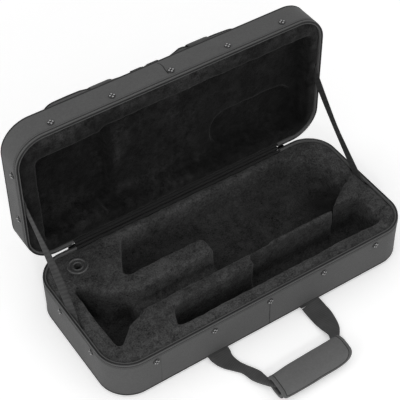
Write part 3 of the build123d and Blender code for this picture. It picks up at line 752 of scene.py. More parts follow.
def edgePiping(word, place, samples):
    # the round welt in the floor seam
    profile = [(welt["inset"] + welt["radius"] * math.cos(math.pi * k / 5),
                welt["height"] + welt["radius"] * math.sin(math.pi * k / 5)) for k in range(10)]
    piping = ringBand(word + "Piping", place, samples, profile, tube=True)
    finish(faceOutwards(piping), "piping", word, "piping", word + "_edge_piping")


def rimBinding(word, place, depth, samples):
    # the cloth folded over the rim, in the hinge strip's dark finish along the hinge side
    profile = [(0.0012, depth - 0.0036), (0.0026, depth - 0.0026), (0.0034, depth - 0.0017),
               (0.0036, depth - 0.0010), (0.0040, depth - 0.0007), (0.0046, depth - 0.0007),
               (0.0051, depth - 0.0011), (0.0053, depth - 0.0019), (0.0052, depth - 0.0060)]
    binding = ringBand(word + "RimBinding", place, samples, profile)
    finish(faceOutwards(binding), "binding", word, "rim_binding", word + "_rim_binding")
    back = case["halfWidth"] - 0.008

    def onHinge(face):
        y = face.center.y if word == "base" else lidPlaneZ - face.center.z
        return abs(face.center.x) < zipPlan["endX"] and y > back

    twoTone(binding, "hinge", onHinge)


stitch = {"pitch": 0.0030, "length": 0.0022, "radius": 0.00025, "lowDrop": 0.0094, "highDrop": 0.0044}


def stitchRow(name, place, out, height, endX=0.0001):
    radius = stitch["radius"]
    rings = []
    for shift, size in ((-1, 0.35), (-0.6, 1.0), (0.6, 1.0), (1, 0.35)):
        rings.append((shift, [(out + radius * size * math.cos(math.pi * k / 2.5),
                               height + radius * size * math.sin(math.pi * k / 2.5)) for k in range(5)]))
    return rowOfBits(name, place, stitch["pitch"], endX, stitch["length"] / 2, rings)


def seamThread(word, place):
    # the dark thread lying in the wall's join
    path = skin["seams"][word]
    vertices = []
    heights = ramp(path[0][1] + 0.0015, path[-1][1] - 0.0005, 40)
    for height in heights:
        for side, inset in ((-1, 0.0007), (-0.5, 0.00042), (0.5, 0.00042), (1, 0.0007)):
            vertices.append(place(seamX(path, height) + side * 0.0007, -case["halfWidth"] + inset, height))
    return makeMesh(word + "SeamThread", vertices, gridFaces(len(heights), 4))


def rimStitches(word, place, depth, samples):
    # one row under the groove, one on the tape, a dark ring in the groove as painted shade, and dark thread
    # in the join
    # painted shade: a dark ring laid in the groove under the zip tape
    groove = ringBand(word + "GrooveShadeRing", place, samples,
                      [(0.00075, depth - 0.0069), (0.0006, depth - 0.0066), (0.0006, depth - 0.0062),
                       (0.00075, depth - 0.0059)])
    lowRow = stitchRow(word + "StitchLow", place, 0.0001, depth - stitch["lowDrop"])
    highRow = stitchRow(word + "StitchHigh", place, 0.0, depth - stitch["highDrop"], zipPlan["endX"])
    rows = [paint(lowRow, "piping"), paint(highRow, "piping"), paint(groove, "thread"),
            paint(seamThread(word, place), "thread")]
    finish(faceOutwards(joinMeshes(word + "RimStitches", rows)), None, word, "piping")


def rivetTop(share, turn):
    # the head's height at this share of its radius, and how far off the nearest pad's middle is
    out = rivetPlan["radius"] * share
    aside = turn - math.radians(rivetPlan["turned"])
    near, far = sorted((abs(out * math.cos(aside)), abs(out * math.sin(aside))))
    off = math.hypot(near, far - rivetPlan["bumpPlace"])
    rise = rivetPlan["edge"] + (rivetPlan["rise"] - rivetPlan["edge"]) * (1 - share ** 3)
    return rise + rivetPlan["bump"] * clamp(1 - (off / rivetPlan["bumpReach"]) ** 2) ** 0.5, off


def domedRivets(word, place, depth):
    # a cross pressed into each head, a light painted highlight on each of its four pads
    rings, sides = rivetPlan["rings"], rivetPlan["sides"]
    vertices, faces, paintedHighlight = [], [], []
    for sx, sy, sz, ox, oy in rivetSpots(depth):
        start = len(vertices)
        for r in range(rings + 1):
            share = min(1.0, r / (rings - 1))
            out = rivetPlan["radius"] * share
            for k in range(sides):
                turn = 2 * math.pi * k / sides
                u, v = out * math.cos(turn), out * math.sin(turn)
                rise, off = rivetTop(share, turn)
                if r == rings:
                    rise = -rivetPlan["sunk"]
                paintedHighlight.append(off < rivetPlan["paintedHighlight"] and r < rings)
                vertices.append(place(sx + ox * rise - oy * u, sy + oy * rise + ox * u, sz + v))
        faces += [tuple(start + k for k in f) for f in gridFaces(rings + 1, sides, False, True)]
        faces.append(tuple(start + k for k in range(sides)))
    heads = faceOutwards(makeMesh(word + "Rivets", vertices, faces))
    finish(heads, "metal", word, "black_metal", word + "_rivets")
    # the pads' light faces are a painted highlight
    twoTone(heads, "padHighlight", lambda face: all(paintedHighlight[k] for k in face.vertices))


def buildHalf(word, place, depth, panelNode, seed):
    samples = planSamples(*skin["meshStep"], [-zipPlan["endX"], zipPlan["endX"]])
    wallCover(word, place, depth, seed)
    floorPanel(word, place, panelNode, seed)
    edgePiping(word, place, samples)
    zipTape(word, place, depth, samples)
    zipTeeth(word, place, depth)
    rimBinding(word, place, depth, samples)
    rimStitches(word, place, depth, samples)
    domedRivets(word, place, depth)
    print("stage:", word, "skin and rivets")


def relax(places, edges, weight, rounds):
    # pulls every point towards the middle of its neighbours
    size = len(places)
    first, second = edges[:, 0], edges[:, 1]
    degree = np.bincount(edges.reshape(-1), minlength=size)
    for _ in range(rounds):
        middle = np.empty_like(places)
        for axis in range(3):
            middle[:, axis] = (np.bincount(first, places[second, axis], size)
                               + np.bincount(second, places[first, axis], size)) / degree
        places += (0.5 * weight)[:, None] * (middle - places)
    return places


# soft, lump and tuft are (noise scale, height); a tone patch is (x, y, reach, reach, gain). The top and
# well-floor tones are painted light and shade: each half lighter on top and darker down its wells, the lid's
# lining darker than the base's as painted shade, its front border lightened as painted light. In the lid the
# narrow dark bands at x -0.108 and 0.249 and the light band at 0.269 paint the shade and light of steps in
# its recess.
plush = {"voxel": 0.0026, "quickVoxel": 0.004, "softness": 0.0062, "bulge": 0.0011, "push": 0.0004,
         "soft": (20, 0.0011), "lump": (62, 0.0008), "tuft": (210, 0.0005), "patchScale": 13,
         "tones": {"base": (0.52, 0.30), "lid": (0.075, 0.055)}, "toneLimits": (0.05, 1.2),
         "lidFrontLight": 0.11, "lidStreak": 0.55, "patchy": {"base": 0.25, "lid": 0.9},
         "brushed": {"base": [(0.212, 0.020, 0.030, 0.035, -0.20), (-0.10, -0.105, 0.09, 0.010, 0.08),
                              (0.15, -0.110, 0.05, 0.010, -0.09), (-0.255, -0.02, 0.010, 0.05, 0.10)],
                     "lid": [(-0.050, -0.055, 0.045, 0.028, 0.075), (-0.108, 0.01, 0.006, 0.070, -0.06),
                             (-0.094, -0.03, 0.006, 0.040, 0.05), (-0.190, 0.085, 0.040, 0.020, 0.05),
                             (-0.075, 0.085, 0.060, 0.012, 0.045), (0.030, -0.020, 0.050, 0.012, 0.04),
                             (0.155, -0.045, 0.050, 0.028, 0.05), (0.205, 0.02, 0.035, 0.07, -0.03),
                             (0.249, 0.0, 0.003, 0.090, -0.05), (0.269, 0.0, 0.010, 0.090, 0.10)]}}


def softBlock(word, nodes, voxel):
    # foam and lining joined and remeshed as one block
    work = bmesh.new()
    for nodeName in nodes:
        work.from_mesh(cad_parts[nodeName].data)
    mesh = bpy.data.meshes.new(word + "Lining")
    work.to_mesh(mesh)
    work.free()
    thing = bpy.data.objects.new(word + "Lining", mesh)
    bpy.context.scene.collection.objects.link(thing)
    remesh = thing.modifiers.new("remesh", "REMESH")
    remesh.mode = "VOXEL"
    remesh.voxel_size = voxel
    remesh.use_smooth_shade = True
    return applyModifiers(thing)


def readRows(source, field, width, kind=np.float32):
    values = np.empty(len(source) * width, kind)
    source.foreach_get(field, values)
    return values.reshape(-1, width)


def writePlaces(mesh, places):
    mesh.vertices.foreach_set("co", places.astype(np.float32).reshape(-1))
    mesh.update()


def trayPlaces(word, places):
    if word == "base":
        return places[:, 0], places[:, 1], places[:, 2]
    return places[:, 0], lidPlaneZ - places[:, 2], lidPlaneY - places[:, 1]


def distanceIn(x, y):
    # how far each point lies inside the case's plan
    corner = case["cornerRadius"]
    qx = np.abs(x) - (case["halfLength"] - corner)
    qy = np.abs(y) - (case["halfWidth"] - corner)
    return corner - np.hypot(np.maximum(qx, 0), np.maximum(qy, 0)) - np.minimum(np.maximum(qx, qy), 0)


def paintedPileShading(word, x, y, low):
    # painted light and shade: lighter on top and darker down to the wells, the lid's lining darker throughout
    # and its front border lighter, with listed tone patches over it, a few of them painted step shade and
    # light
    top, floor = plush["tones"][word]
    # painted shade: darker from the top down towards the wells
    tone = top + (floor - top) * low
    if word == "lid":
        streak = np.array([noise.noise(Vector((float(a) * 170, float(b) * 22, 1.5))) for a, b in zip(x, y)])
        tone = tone * (1 + plush["lidStreak"] * streak)
        # painted light: the lid's border at its front is lightened
        tone = tone + plush["lidFrontLight"] * np.clip((-y - 0.085) / 0.03, 0, 1) * (1 - low)
    for cx, cy, rx, ry, gain in plush["brushed"][word]:
        tone = tone + gain * np.exp(-((x - cx) / rx) ** 2 - ((y - cy) / ry) ** 2)
    return tone


def pileNoise(x, y, z, seed):
    # how far the soft waves, lumps and tufts lift each point, and how uneven its shade is
    softScale, softRise = plush["soft"]
    lumpScale, lumpRise = plush["lump"]
    tuftScale, tuftRise = plush["tuft"]
    wave, uneven = np.empty(len(x)), np.empty(len(x))
    for k in range(len(x)):
        here = Vector((float(x[k]), float(y[k]), float(z[k])))
        soft = noise.noise(here * softScale + Vector((seed, 0, 0)))
        lump = noise.noise(here * lumpScale + Vector((0, seed, 0)))
        tuft = noise.noise(here * tuftScale + Vector((0, 0, seed)))
        wave[k] = softRise * soft + lumpRise * lump + tuftRise * tuft
        uneven[k] = noise.noise(here * plush["patchScale"] + Vector((seed, seed, 0))) + 0.6 * lump
    return wave, uneven


def plushInsert(word, nodes, depth, seed):
    # one soft block: edges rolled, lumps and creases pushed in, its shade painted on
    voxel = plush["voxel"]
    thing = softBlock(word, nodes, voxel)
    mesh = thing.data
    count = len(mesh.vertices)
    places = readRows(mesh.vertices, "co", 3).astype(float)
    edges = readRows(mesh.edges, "vertices", 2, np.int32)
    x, y, z = trayPlaces(word, places)
    inset = distanceIn(x, y)
    rounds = max(3, round(2 * (plush["softness"] / voxel) ** 2))
    places = relax(places, edges, np.ones(count), max(2, round(2 * (0.003 / voxel) ** 2)))
    places = relax(places, edges, np.clip((inset - 0.007) / 0.008, 0.0, 1.0), rounds)
    writePlaces(mesh, places)

    normals = readRows(mesh.vertex_normals, "vector", 3)
    x, y, z = trayPlaces(word, places)
    up = normals[:, 2] if word == "base" else -normals[:, 1]
    low = np.clip((depth - 0.010 - z) / (depth * 0.55), 0.0, 1.0)
    wave, uneven = pileNoise(x, y, z, seed)
    tone = paintedPileShading(word, x, y, low) * (1 + plush["patchy"][word] * uneven)
    swell = plush["bulge"] * np.clip(up, 0, 1) * (1 - low) * np.clip((inset - 0.005) / 0.006, 0, 1)
    outward = plush["push"] * (inset < 0.008)
    places += normals * (wave * np.clip((inset - 0.004) / 0.003, 0.25, 1) + swell + outward)[:, None]
    writePlaces(mesh, places)
    painted = mesh.attributes.new("tone", "FLOAT", "POINT")
    painted.data.foreach_set("value", np.clip(tone, *plush["toneLimits"]).astype(np.float32))
    finish(thing, word + "Plush", word, "plush", *nodes)
    print("stage:", word, "lining,", count, "points")


def smoothPath(controls, count):
    # a Catmull-Rom curve through tuples of numbers
    table = [np.array(c, float) for c in controls]
    table = [2 * table[0] - table[1]] + table + [2 * table[-1] - table[-2]]
    result = []
    pieces = len(table) - 3
    for k in range(count + 1):
        at = min(k / count * pieces, pieces - 1e-9)
        i = int(at)
        t = at - i
        a, b, c, d = table[i:i + 4]
        result.append(0.5 * (2 * b + (c - a) * t + (2 * a - 5 * b + 4 * c - d) * t * t
                             + (3 * b - a - 3 * c + d) * t ** 3))
    return result


def strapSection(half, thick, fold, sides):
    # flat webbing whose edges roll under as fold goes from 0 to 1
    points = []
    for k in range(sides):
        turn = 2 * math.pi * k / sides
        c, s = math.cos(turn), math.sin(turn)
        u = half * signedPower(c, 0.35)
        v = thick * signedPower(s, 0.55)
        crown = 1 + 0.3 * fold * (1 - (u / half) ** 2)
        groove = fold * 0.75 * thick * math.exp(-((u / half - 0.15) / 0.14) ** 2) if s > 0 else 0.0
        points.append((u, v * crown - groove))
    return points


def strap(name, controls, count, ups, sides=28):
    # controls in mm: x, y, z, width, thickness, fold; ups: the strap's face direction at each
    stations = smoothPath([(*mm(*c[:5]), c[5] if len(c) > 5 else 0.0) for c in controls], count)
    faceUps = smoothPath(ups, count)
    vertices, uv = [], []
    along = 0.0
    for k, station in enumerate(stations):
        here = Vector(station[:3])
        ahead = Vector(stations[min(k + 1, count)][:3]) - Vector(stations[max(k - 1, 0)][:3])
        ahead.normalize()
        across = ahead.cross(Vector(faceUps[k])).normalized()
        normal = across.cross(ahead).normalized()
        along += (here - Vector(stations[k - 1][:3])).length if k else 0.0
        for u, v in strapSection(station[3] / 2, station[4] / 2, clamp(station[5]), sides):
            vertices.append(here + across * u + normal * v)
            uv.append((u, along))
    faces = gridFaces(count + 1, sides, False, True)
    faces += [tuple(reversed(range(sides))), tuple(count * sides + s for s in range(sides))]
    thing = faceOutwards(makeMesh(name, vertices, faces))
    setUV(thing, uv)
    return thing


carryStrap = {
    "left": [(-98, -130.8, 6.0, 37.5, 1.8, 0), (-97.8, -136, 5.0, 36.5, 1.8, 0),
             (-96.8, -144, 3.6, 32, 2.2, 0.2), (-94, -153, 3.2, 27, 2.8, 0.5),
             (-88.5, -165, 3.6, 20, 4.0, 0.9), (-82.5, -176, 4.4, 16.5, 5.0, 1),
             (-78, -187, 5.2, 19, 4.6, 0.9), (-75, -197, 6.0, 21.5, 4.2, 0.8),
             (-72.5, -207, 7.4, 18, 4.8, 1), (-69.5, -217, 9.6, 14, 5.2, 1),
             (-63, -227, 11.8, 14, 5.2, 1), (-53, -234, 13.2, 16, 5, 1)],
    "right": [(79, -130.8, 6.0, 37.6, 1.8, 0), (79.5, -137, 4.6, 38, 1.8, 0), (80, -146, 3.0, 38, 1.9, 0),
              (80, -156, 2.8, 38, 2.0, 0.1), (78.8, -168, 3.4, 36, 2.2, 0.2), (77.4, -180, 4.6, 32, 2.6, 0.4),
              (75.6, -190, 6.0, 27, 3.2, 0.6), (72.5, -199, 7.6, 20, 4, 0.9), (67, -208, 9.6, 15, 5, 1),
              (60, -217, 11.4, 14, 5.2, 1), (52, -227, 12.8, 15, 5, 1), (44, -234, 13.2, 16, 5, 1)],
    "bar": [(x, -236.5, 13.2, 20, 3.6, 0.4) for x in (-58, -20, 20, 50)],
}


def buildCarryStrap():
    parts = [strap("carry" + key.title(), carryStrap[key], count, [(0, 0, 1)] * len(carryStrap[key]))
             for key, count in (("left", 90), ("right", 90), ("bar", 20))]
    finish(joinMeshes("carryStraps", parts), "webbing", "carry_handle", "webbing", "handle_strap")


# first and last are the degrees between which the sheet is rolled; patch is a closure tape's ends
grip = {"half": 0.066, "centre": (-0.2378, 0.0132), "wide": 0.0234, "high": 0.0127, "power": 2.6,
        "wall": 0.0042, "first": 155, "last": 549, "cornerRight": 0.021, "cornerLeft": 0.010, "skew": 0.030,
        "sag": 0.0014, "under": 0.0050, "taper": 0.0012, "puff": 0.0008, "flapShort": -0.003,
        "rollOut": 0.003, "rollShort": 0.022, "backOut": 0.0045, "bead": 0.0025, "beadHigh": 0.0028,
        "line": 0.0008, "patch": (-0.044, 0.036), "patchWall": 0.0006}


def gripTable():
    # arc length of the wrap's section against its turn
    turns, lengths = [], []
    before, travelled = None, 0.0
    for degrees in range(grip["first"], grip["last"] + 1):
        turn = math.radians(degrees)
        c, s = math.cos(turn), math.sin(turn)
        spot = (grip["wide"] * signedPower(c, 2 / grip["power"]),
                grip["high"] * signedPower(s, 2 / grip["power"]))
        travelled += math.dist(before, spot) if before else 0.0
        before = spot
        turns.append(turn)
        lengths.append(travelled)
    return turns, lengths


gripTurns, gripLengths = gripTable()


def gripPoint(x, along, lift):
    # a point of the rolled sheet: x along the handle, along round it, lift off its outer face
    turn = float(np.interp(along, gripLengths, gripTurns))
    layer = -grip["under"] * clamp((math.radians(300) - turn) / math.radians(110))
    ends = abs(x) / grip["half"]
    puff = grip["puff"] * noise.noise(Vector((x * 34, math.cos(turn) * 1.4, math.sin(turn) * 1.4)))
    rise = lift + layer - grip["taper"] * ends ** 4 + puff
    c, s = math.cos(turn), math.sin(turn)
    y = (grip["wide"] + rise) * signedPower(c, 2 / grip["power"])
    z = (grip["high"] + rise) * signedPower(s, 2 / grip["power"])
    z -= grip["sag"] * (1 - ends ** 2) * clamp(s) * 0.5
    cy, cz = grip["centre"]
    return Vector((x, cy + y + grip["skew"] * (x + grip["half"]), max(cz + z, 0.0003)))


def gripEnds(along):
    # the sheet's left and right edges: square, with the flap's two corners rounded
    back = gripLengths[-1] - along
    turn = math.degrees(float(np.interp(along, gripLengths, gripTurns)))
    inner = clamp((330 - turn) / 80)
    left = -grip["half"] + clamp(1 - back / 0.060) * grip["flapShort"] - inner * grip["rollOut"]
    bulge = clamp((turn - 320) / 60) * clamp((530 - turn) / 90)
    right = grip["half"] - 0.0005 - inner * grip["rollShort"] + grip["backOut"] * bulge
    for radius, side in ((grip["cornerLeft"], -1), (grip["cornerRight"], 1)):
        if back < radius:
            cut = radius - math.sqrt(max(radius ** 2 - (radius - back) ** 2, 0.0))
            if side < 0:
                left += cut
            else:
                right -= cut
    return left, right


def gripPatch(name, low, high, lift):
    # a closure tape lying on one face of the rolled sheet
    columns, rows = 9, 21
    vertices = []
    for level in (lift, lift + grip["patchWall"]):
        for along in ramp(low, high, columns - 1):
            vertices += [gripPoint(x, along, level) for x in ramp(*grip["patch"], rows - 1)]
    sheet = columns * rows
    faces = gridFaces(columns, rows) + gridFaces(columns, rows, start=sheet)
    rim = [k for k in range(rows)] + [c * rows + rows - 1 for c in range(1, columns)]
    rim += [(columns - 1) * rows + k for k in reversed(range(rows - 1))]
    rim += [c * rows for c in reversed(range(1, columns - 1))]
    faces += [(a, b, sheet + b, sheet + a) for a, b in zip(rim, rim[1:] + rim[:1])]
    return faceOutwards(makeMesh(name, vertices, faces))


def gripWrap():
    # the padded sheet rolled round the folded straps, its points closer together towards the flap
    count, across = 110, 48
    alongs = [gripLengths[-1] * (1 - (1 - k / count) ** 1.25) for k in range(count + 1)]
    rows = []
    for lift in (0.0, -grip["wall"]):
        for along in alongs:
            left, right = gripEnds(along)
            for k in range(across + 1):
                x = left + (right - left) * (0.5 - 0.5 * math.cos(math.pi * k / across))
                rows.append(gripPoint(x, along, lift))
    n = across + 1
    size = (count + 1) * n
    faces = [tuple(reversed(f)) for f in gridFaces(count + 1, n)]
    faces += [tuple(size + k for k in f) for f in gridFaces(count + 1, n)]
    for k in range(across):
        for r in (0, count):
            a = r * n + k
            faces.append((a, a + 1, size + a + 1, size + a))
    for r in range(count):
        for k in (0, across):
            a, b = r * n + k, (r + 1) * n + k
            faces.append((a, b, size + b, size + a))
    wrap = faceOutwards(makeMesh("gripWrap", rows, faces))
    finish(wrap, "grip", "carry_handle", "grip_fabric", "grip_wrap")


def gripTapes():
    last = gripLengths[-1]
    hook = gripPatch("gripHookTape", last - 0.021, last - 0.005, -grip["wall"] - 0.0007)
    finish(hook, "tape", "carry_handle", "hook_tape", "grip_hook_tape")
    loop = gripPatch("gripLoopTape", 0.004, 0.020, 0.0)
    finish(loop, "tape", "carry_handle", "loop_tape", "grip_loop_tape")


def gripOutline():
    # from 40 degrees in along the left edge, over the flap's end and back along the right edge
    first, last = gripLengths[40], gripLengths[-1]
    left, right = gripEnds(last)
    edge = [(gripEnds(along)[0], along) for along in ramp(first, last, 120)]
    edge += [(x, last) for x in ramp(left, right, 40)[1:-1]]
    edge += [(gripEnds(along)[1], along) for along in reversed(ramp(first, last, 120))]
    return edge


def inwards(edge, k):
    # the direction from the outline's k-th point into the sheet
    before, after = edge[max(k - 1, 0)], edge[min(k + 1, len(edge) - 1)]
    dx, ds = after[0] - before[0], after[1] - before[1]
    size = math.hypot(dx, ds) or 1.0
    inX, inS = ds / size, -dx / size
    if (inX * edge[k][0] if abs(ds) > abs(dx) else inS) > 0:
        return -inX, -inS
    return inX, inS


def gripBinding():
    # a folded tape round the outline and the dark line that sews it down; section: middle, reach, rise
    edge, last, sides = gripOutline(), gripLengths[-1], 14
    sections = (("Binding", "gripEdge", (grip["bead"] - 0.0004, grip["bead"], grip["beadHigh"])),
                ("Sewing", "thread", (2 * grip["bead"] + 0.0002, grip["line"], grip["wall"] / 2 + 0.0003)))
    rows = []
    for part, key, (middle, reach, rise) in sections:
        places = []
        for k, (x, along) in enumerate(edge):
            inX, inS = inwards(edge, k)
            for s in range(sides):
                turn = 2 * math.pi * s / sides
                off = middle + reach * signedPower(math.cos(turn), 0.6)
                lift = rise * signedPower(math.sin(turn), 0.7) - grip["wall"] / 2
                places.append(gripPoint(x + inX * off, clamp(along + inS * off, 0, last), lift))
        rows.append(paint(makeMesh("edge" + part, places, gridFaces(len(edge), sides, False, True)), key))
    finish(faceOutwards(joinMeshes("gripBinding", rows)), None, "carry_handle", "piping", "grip_binding")


stay = {
    "width": 20, "thick": 1.4,
    "left": [(-272.6, -2, 72), (-272.5, 8, 81), (-271, 36, 109), (-270, 66, 137), (-271, 98, 170),
             (-272.5, 127.5, 200.5), (-272.6, 138, 210)],
    "right": [(272.6, -2, 72), (272.5, 8, 81), (271.5, 36, 108), (271, 67, 137.6), (271.5, 98, 169.6),
              (272.5, 127.5, 200.5), (272.6, 138, 210)],
    "leftFace": [(1, 0, 0), (0.95, 0.2, -0.2), (0.92, 0.27, -0.27), (0.94, 0.22, -0.22), (1, 0.05, -0.05),
                 (1, 0, 0), (1, 0, 0)],
    "rightFace": [(1, 0, 0), (1, 0, 0), (1, -0.05, 0.05), (1, -0.1, 0.1), (1, -0.05, 0.05), (1, 0, 0),
                  (1, 0, 0)],
}


def buildStays():
    for side in ("left", "right"):
        controls = [(*spot, stay["width"], stay["thick"]) for spot in stay[side]]
        thing = paint(strap("stay" + side.title(), controls, 90, stay[side + "Face"]), "stay")
        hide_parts("stay_" + side)
        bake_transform(thing)


tab = {"x": (-98, 79), "width": 37.6, "thick": 1.8,
       "base": [(y, 6.0) for y in (-126.4, -128, -129.4, -130.65)],
       "lid": [(183.6, z) for z in (320.9, 322.4, 324.2, 325.7)]}


def buildTabs():
    # webbing caught in the base's seam, and sewn flat to the lid's panel
    for word, face in (("base", (0, 0, 1)), ("lid", (0, 1, 0))):
        tabs = []
        for x in tab["x"]:
            controls = [(x, *spot, tab["width"], tab["thick"]) for spot in tab[word]]
            tabs.append(strap("tab", controls, 6, [face] * len(controls)))
        finish(joinMeshes(word + "HandleTabs", tabs), "webbing", word, "webbing", word + "_handle_tabs")


def copyNode(name, nodeName, key, body, slotName):
    # a small piece taken from its own solid, its edges softened
    thing = bpy.data.objects.new(name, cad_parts[nodeName].data.copy())
    bpy.context.scene.collection.objects.link(thing)
    finish(roundEdges(thing, 0.0003), key, body, slotName, nodeName)


hingeStrip = {"halfLength": 198.5, "columns": 121, "wall": 0.0008, "crinkle": 0.12,
              "section": [(128.2, 65.0), (128.25, 69), (128.25, 74), (128.2, 78.2), (128.0, 79.8),
                          (127.9, 80.6), (128.3, 81.2), (129.2, 81.35), (131, 81.3), (134, 81.25),
                          (139, 81.25), (143.6, 81.2)]}


def buildHinge():
    # one fabric strip, sewn to both halves and folded between them
    section, columns, half = hingeStrip["section"], hingeStrip["columns"], hingeStrip["halfLength"]
    vertices, uv = [], []
    for x in ramp(-half, half, columns - 1):
        along = 0.0
        for r, (y, z) in enumerate(section):
            along += math.dist((y, z), section[r - 1]) if r else 0.0
            crinkle = hingeStrip["crinkle"] * noise.noise(Vector((x * 0.09, r * 0.8, 2.0)))
            vertices.append(mm(x, y + crinkle, z + crinkle * 0.3))
            uv.append(mm(x, along))
    thing = makeMesh("hingeStrip", vertices, gridFaces(columns, len(section)))
    setUV(thing, uv)
    paint(thicken(thing, hingeStrip["wall"], 0.0), "hinge")
    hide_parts("base_hinge_strip", "lid_hinge_strip")
    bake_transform(thing)


# swell is (x, rise) in millimetres; swellOut, swellUp and liftUp are where a fade starts and its reach
pocket = {"radius": 0.022, "depth": 0.014, "crown": 0.0018, "rumple": 0.0011, "wall": 0.0008, "bead": 0.0011,
          "rings": 22, "rimStep": 0.006, "swellOut": (0.0104, 0.0034), "swellUp": (0.262, 0.045),
          "lift": 0.15, "liftUp": (0.300, 0.012),
          "swell": [(-200, 0.5), (-190, 2.2), (-175, 3.4), (-150, 3.8), (-130, 3.4), (-118, 0.8),
                    (-108, -0.8), (-80, -1.0), (-60, -3.0), (-20, -4.0), (25, -3.5), (38, 0.0),
                    (48, 3.4), (55, 3.2), (62, 1.2), (95, 1.0), (110, 1.6), (128, 0.6), (145, -0.5),
                    (160, -1.0)]}


def pocketRim():
    # points round the pocket's plan with the outward direction at each
    low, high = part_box("pocket_gusset")
    radius = pocket["radius"]
    x0, x1, z0, z1 = low[0] + radius, high[0] - radius, low[2] + radius, high[2] - radius
    corners = []
    for cx, cz, start in ((x1, z1, 0), (x0, z1, 90), (x0, z0, 180), (x1, z0, 270)):
        for k in range(10):
            turn = math.radians(start + 10 * k)
            nx, nz = math.cos(turn), math.sin(turn)
            corners.append((cx + radius * nx, cz + radius * nz, nx, nz))
    points = []
    for a, b in zip(corners, corners[1:] + corners[:1]):
        steps = max(1, round(math.dist(a[:2], b[:2]) / pocket["rimStep"]))
        points += [tuple(p + (q - p) * k / steps for p, q in zip(a, b)) for k in range(steps)]
    return points


def fadeIn(value, start, reach):
    return clamp((value - start) / reach)


def pocketPoint(x, z, out):
    # lets the stuffed pocket's top edge swell or sag along its length, swell given in mm
    reach = fadeIn(out, *pocket["swellOut"]) * fadeIn(z, *pocket["swellUp"])
    places, heights = zip(*pocket["swell"])
    swell = float(np.interp(x * 1000, places, heights)) * 0.001
    lift = pocket["lift"] * swell * reach * fadeIn(z, *pocket["liftUp"])
    return Vector((x, lidPlaneY + out + swell * reach, z + lift))


def pocketBand(name, profile, tube=False):
    vertices, uv = [], []
    along, before = 0.0, None
    for x, z, nx, nz in pocketRim():
        along += math.dist(before, (x, z)) if before else 0.0
        before = (x, z)
        across = 0.0
        for r, (inset, out) in enumerate(profile):
            across += math.dist(profile[r - 1], (inset, out)) if r else 0.0
            vertices.append(pocketPoint(x - nx * inset, z - nz * inset, out))
            uv.append((along, across))
    thing = makeMesh(name, vertices, gridFaces(len(pocketRim()), len(profile), True, tube))
    setUV(thing, uv)
    return thing


def pocketGusset():
    depth = pocket["depth"]
    profile = [(-0.0006, 0.0002), (0.0, 0.0012), (0.0002, 0.004), (0.0003, 0.0095), (0.0002, 0.0115),
               (0.0003, depth - 0.0015), (0.0008, depth - 0.0006)]
    gusset = thicken(pocketBand("pocketGusset", profile), pocket["wall"])
    finish(gusset, "lidPocket", "lid", "nylon_cover", "pocket_gusset")


def pocketPanel():
    # rings of points drawn in from the rim to a line along the middle, crowned and rumpled
    low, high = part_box("pocket_gusset")
    middleX, middleZ = (low[0] + high[0]) / 2, (low[2] + high[2]) / 2
    rim, rings = pocketRim(), pocket["rings"]
    vertices = []
    for x, z, nx, nz in rim:
        x, z = x - nx * 0.0006, z - nz * 0.0006
        for r in range(rings + 1):
            t = (r / rings) ** 1.3
            px = x + (middleX - x) * 0.65 * t
            pz = z + (middleZ - z) * t
            soft = noise.noise(Vector((px * 15, pz * 15, 4.0)))
            soft += 0.5 * noise.noise(Vector((px * 38, pz * 38, 9.0)))
            rise = pocket["depth"] - 0.0002 + pocket["crown"] * (1 - (1 - t) ** 3)
            rise += pocket["rumple"] * soft * clamp(t * 6)
            vertices.append(pocketPoint(px, pz, rise))
    faces = gridFaces(len(rim), rings + 1, True)
    panel = thicken(makeMesh("pocketPanel", vertices, faces), pocket["wall"])
    work = bmesh.new()
    work.from_mesh(panel.data)
    bmesh.ops.remove_doubles(work, verts=work.verts, dist=0.00005)
    bmesh.ops.recalc_face_normals(work, faces=work.faces)
    work.to_mesh(panel.data)
    work.free()
    finish(panel, "lidPocket", "lid", "nylon_cover", "pocket_panel")


def pocketBinding():
    bead, level = pocket["bead"], pocket["depth"] + 0.0002
    turns = [math.pi * k / 5 for k in range(10)]
    profile = [(bead * math.cos(turn), level + bead * math.sin(turn)) for turn in turns]
    binding = faceOutwards(pocketBand("pocketBinding", profile, True))
    finish(binding, "piping", "lid", "piping", "pocket_binding")


lidHandle = {
    "width": 38, "narrower": 18, "thick": 1.8, "thicker": 2.2,
    "bar": [(x, 198.6, 239.9, 20, 4.0, 0.5) for x in (-86, -40, 0, 40, 86)],
    "left": {"x": -98, "endX": -76,
             "leg": [(183.7, 326.2), (187, 325.4), (191.5, 323.6), (195.3, 321.2), (197.9, 319.0),
                     (199.1, 315.5), (199.3, 309), (199.3, 300), (199.2, 290), (199, 278), (198.8, 265),
                     (198.7, 252), (198.6, 241)]},
    "right": {"x": 79, "endX": 76,
              "leg": [(183.7, 327.0), (187.5, 326.6), (192, 325.2), (196, 322.9), (198.9, 320.2),
                      (200.3, 316.5), (200.5, 309), (200.2, 300), (199.8, 290), (199.4, 278), (199, 265),
                      (198.7, 252), (198.6, 241)]},
}


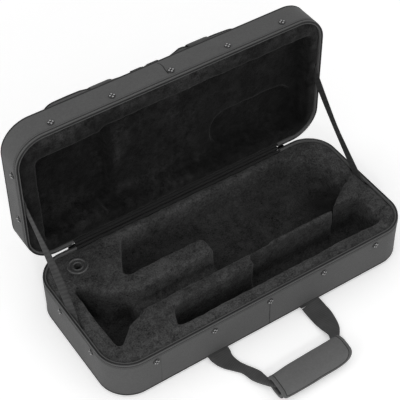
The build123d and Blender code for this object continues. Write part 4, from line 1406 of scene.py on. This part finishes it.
def buildLidHandle():
    legs = []
    for side in ("left", "right"):
        points, startX, endX = (lidHandle[side][key] for key in ("leg", "x", "endX"))
        controls, ups = [], []
        for k, (y, z) in enumerate(points):
            narrow = clamp((k - 7) / 3)
            x = startX + (endX - startX) * narrow
            width = lidHandle["width"] - lidHandle["narrower"] * narrow
            thick = lidHandle["thick"] + lidHandle["thicker"] * narrow
            controls.append((x, y, z, width, thick, narrow))
            before, after = points[max(k - 1, 0)], points[min(k + 1, len(points) - 1)]
            size = math.dist(before, after)
            ups.append((0, -(after[1] - before[1]) / size, (after[0] - before[0]) / size))
        legs.append(strap("lidLeg" + side, controls, 80, ups))
    bar = strap("lidBar", lidHandle["bar"], 30, [(0, 1, 0)] * len(lidHandle["bar"]))
    whole = joinMeshes("lidHandleStraps", legs + [bar])
    finish(whole, "webbing", "lid_handle", "webbing", "lid_handle_strap")


buildHalf("base", inBase, case["baseDepth"], "base_bottom_panel", 1.7)
buildHalf("lid", inLid, case["lidDepth"], "lid_top_panel", 5.3)
buildCarryStrap()
gripWrap()
gripTapes()
gripBinding()
print("stage: carry handle")
buildStays()
buildTabs()
copyNode("baseStayEnds", "base_stay_ends", "stay", "base", "webbing")
copyNode("lidStayEnds", "lid_stay_ends", "stay", "lid", "webbing")
buildHinge()
pocketGusset()
pocketPanel()
pocketBinding()
copyNode("pocketTape", "pocket_zip_tape", "tape", "lid", "zip_tape")
copyNode("pocketTeeth", "pocket_zip_teeth", "teeth", "lid", "zip_teeth")
buildLidHandle()
print("stage: straps, hinge, pocket")
plushInsert("base", ("base_lining", "base_foam"), case["baseDepth"], 3.1)
plushInsert("lid", ("lid_lining", "lid_foam"), case["lidDepth"], 8.4)

keptSolids = {"board": ("base_shell", "lid_shell"), "rubber": ("mouthpiece_ring",),
              "metal": ("zip_slider_left", "zip_slider_right", "zip_pull_left", "zip_pull_right",
                        "pocket_slider_left", "pocket_slider_right", "pocket_pull_left",
                        "pocket_pull_right")}
for key, names in keptSolids.items():
    for nodeName in names:
        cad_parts[nodeName].material_slots[0].material = finishes[key]
print("stage: shells, ring, sliders and pulls")
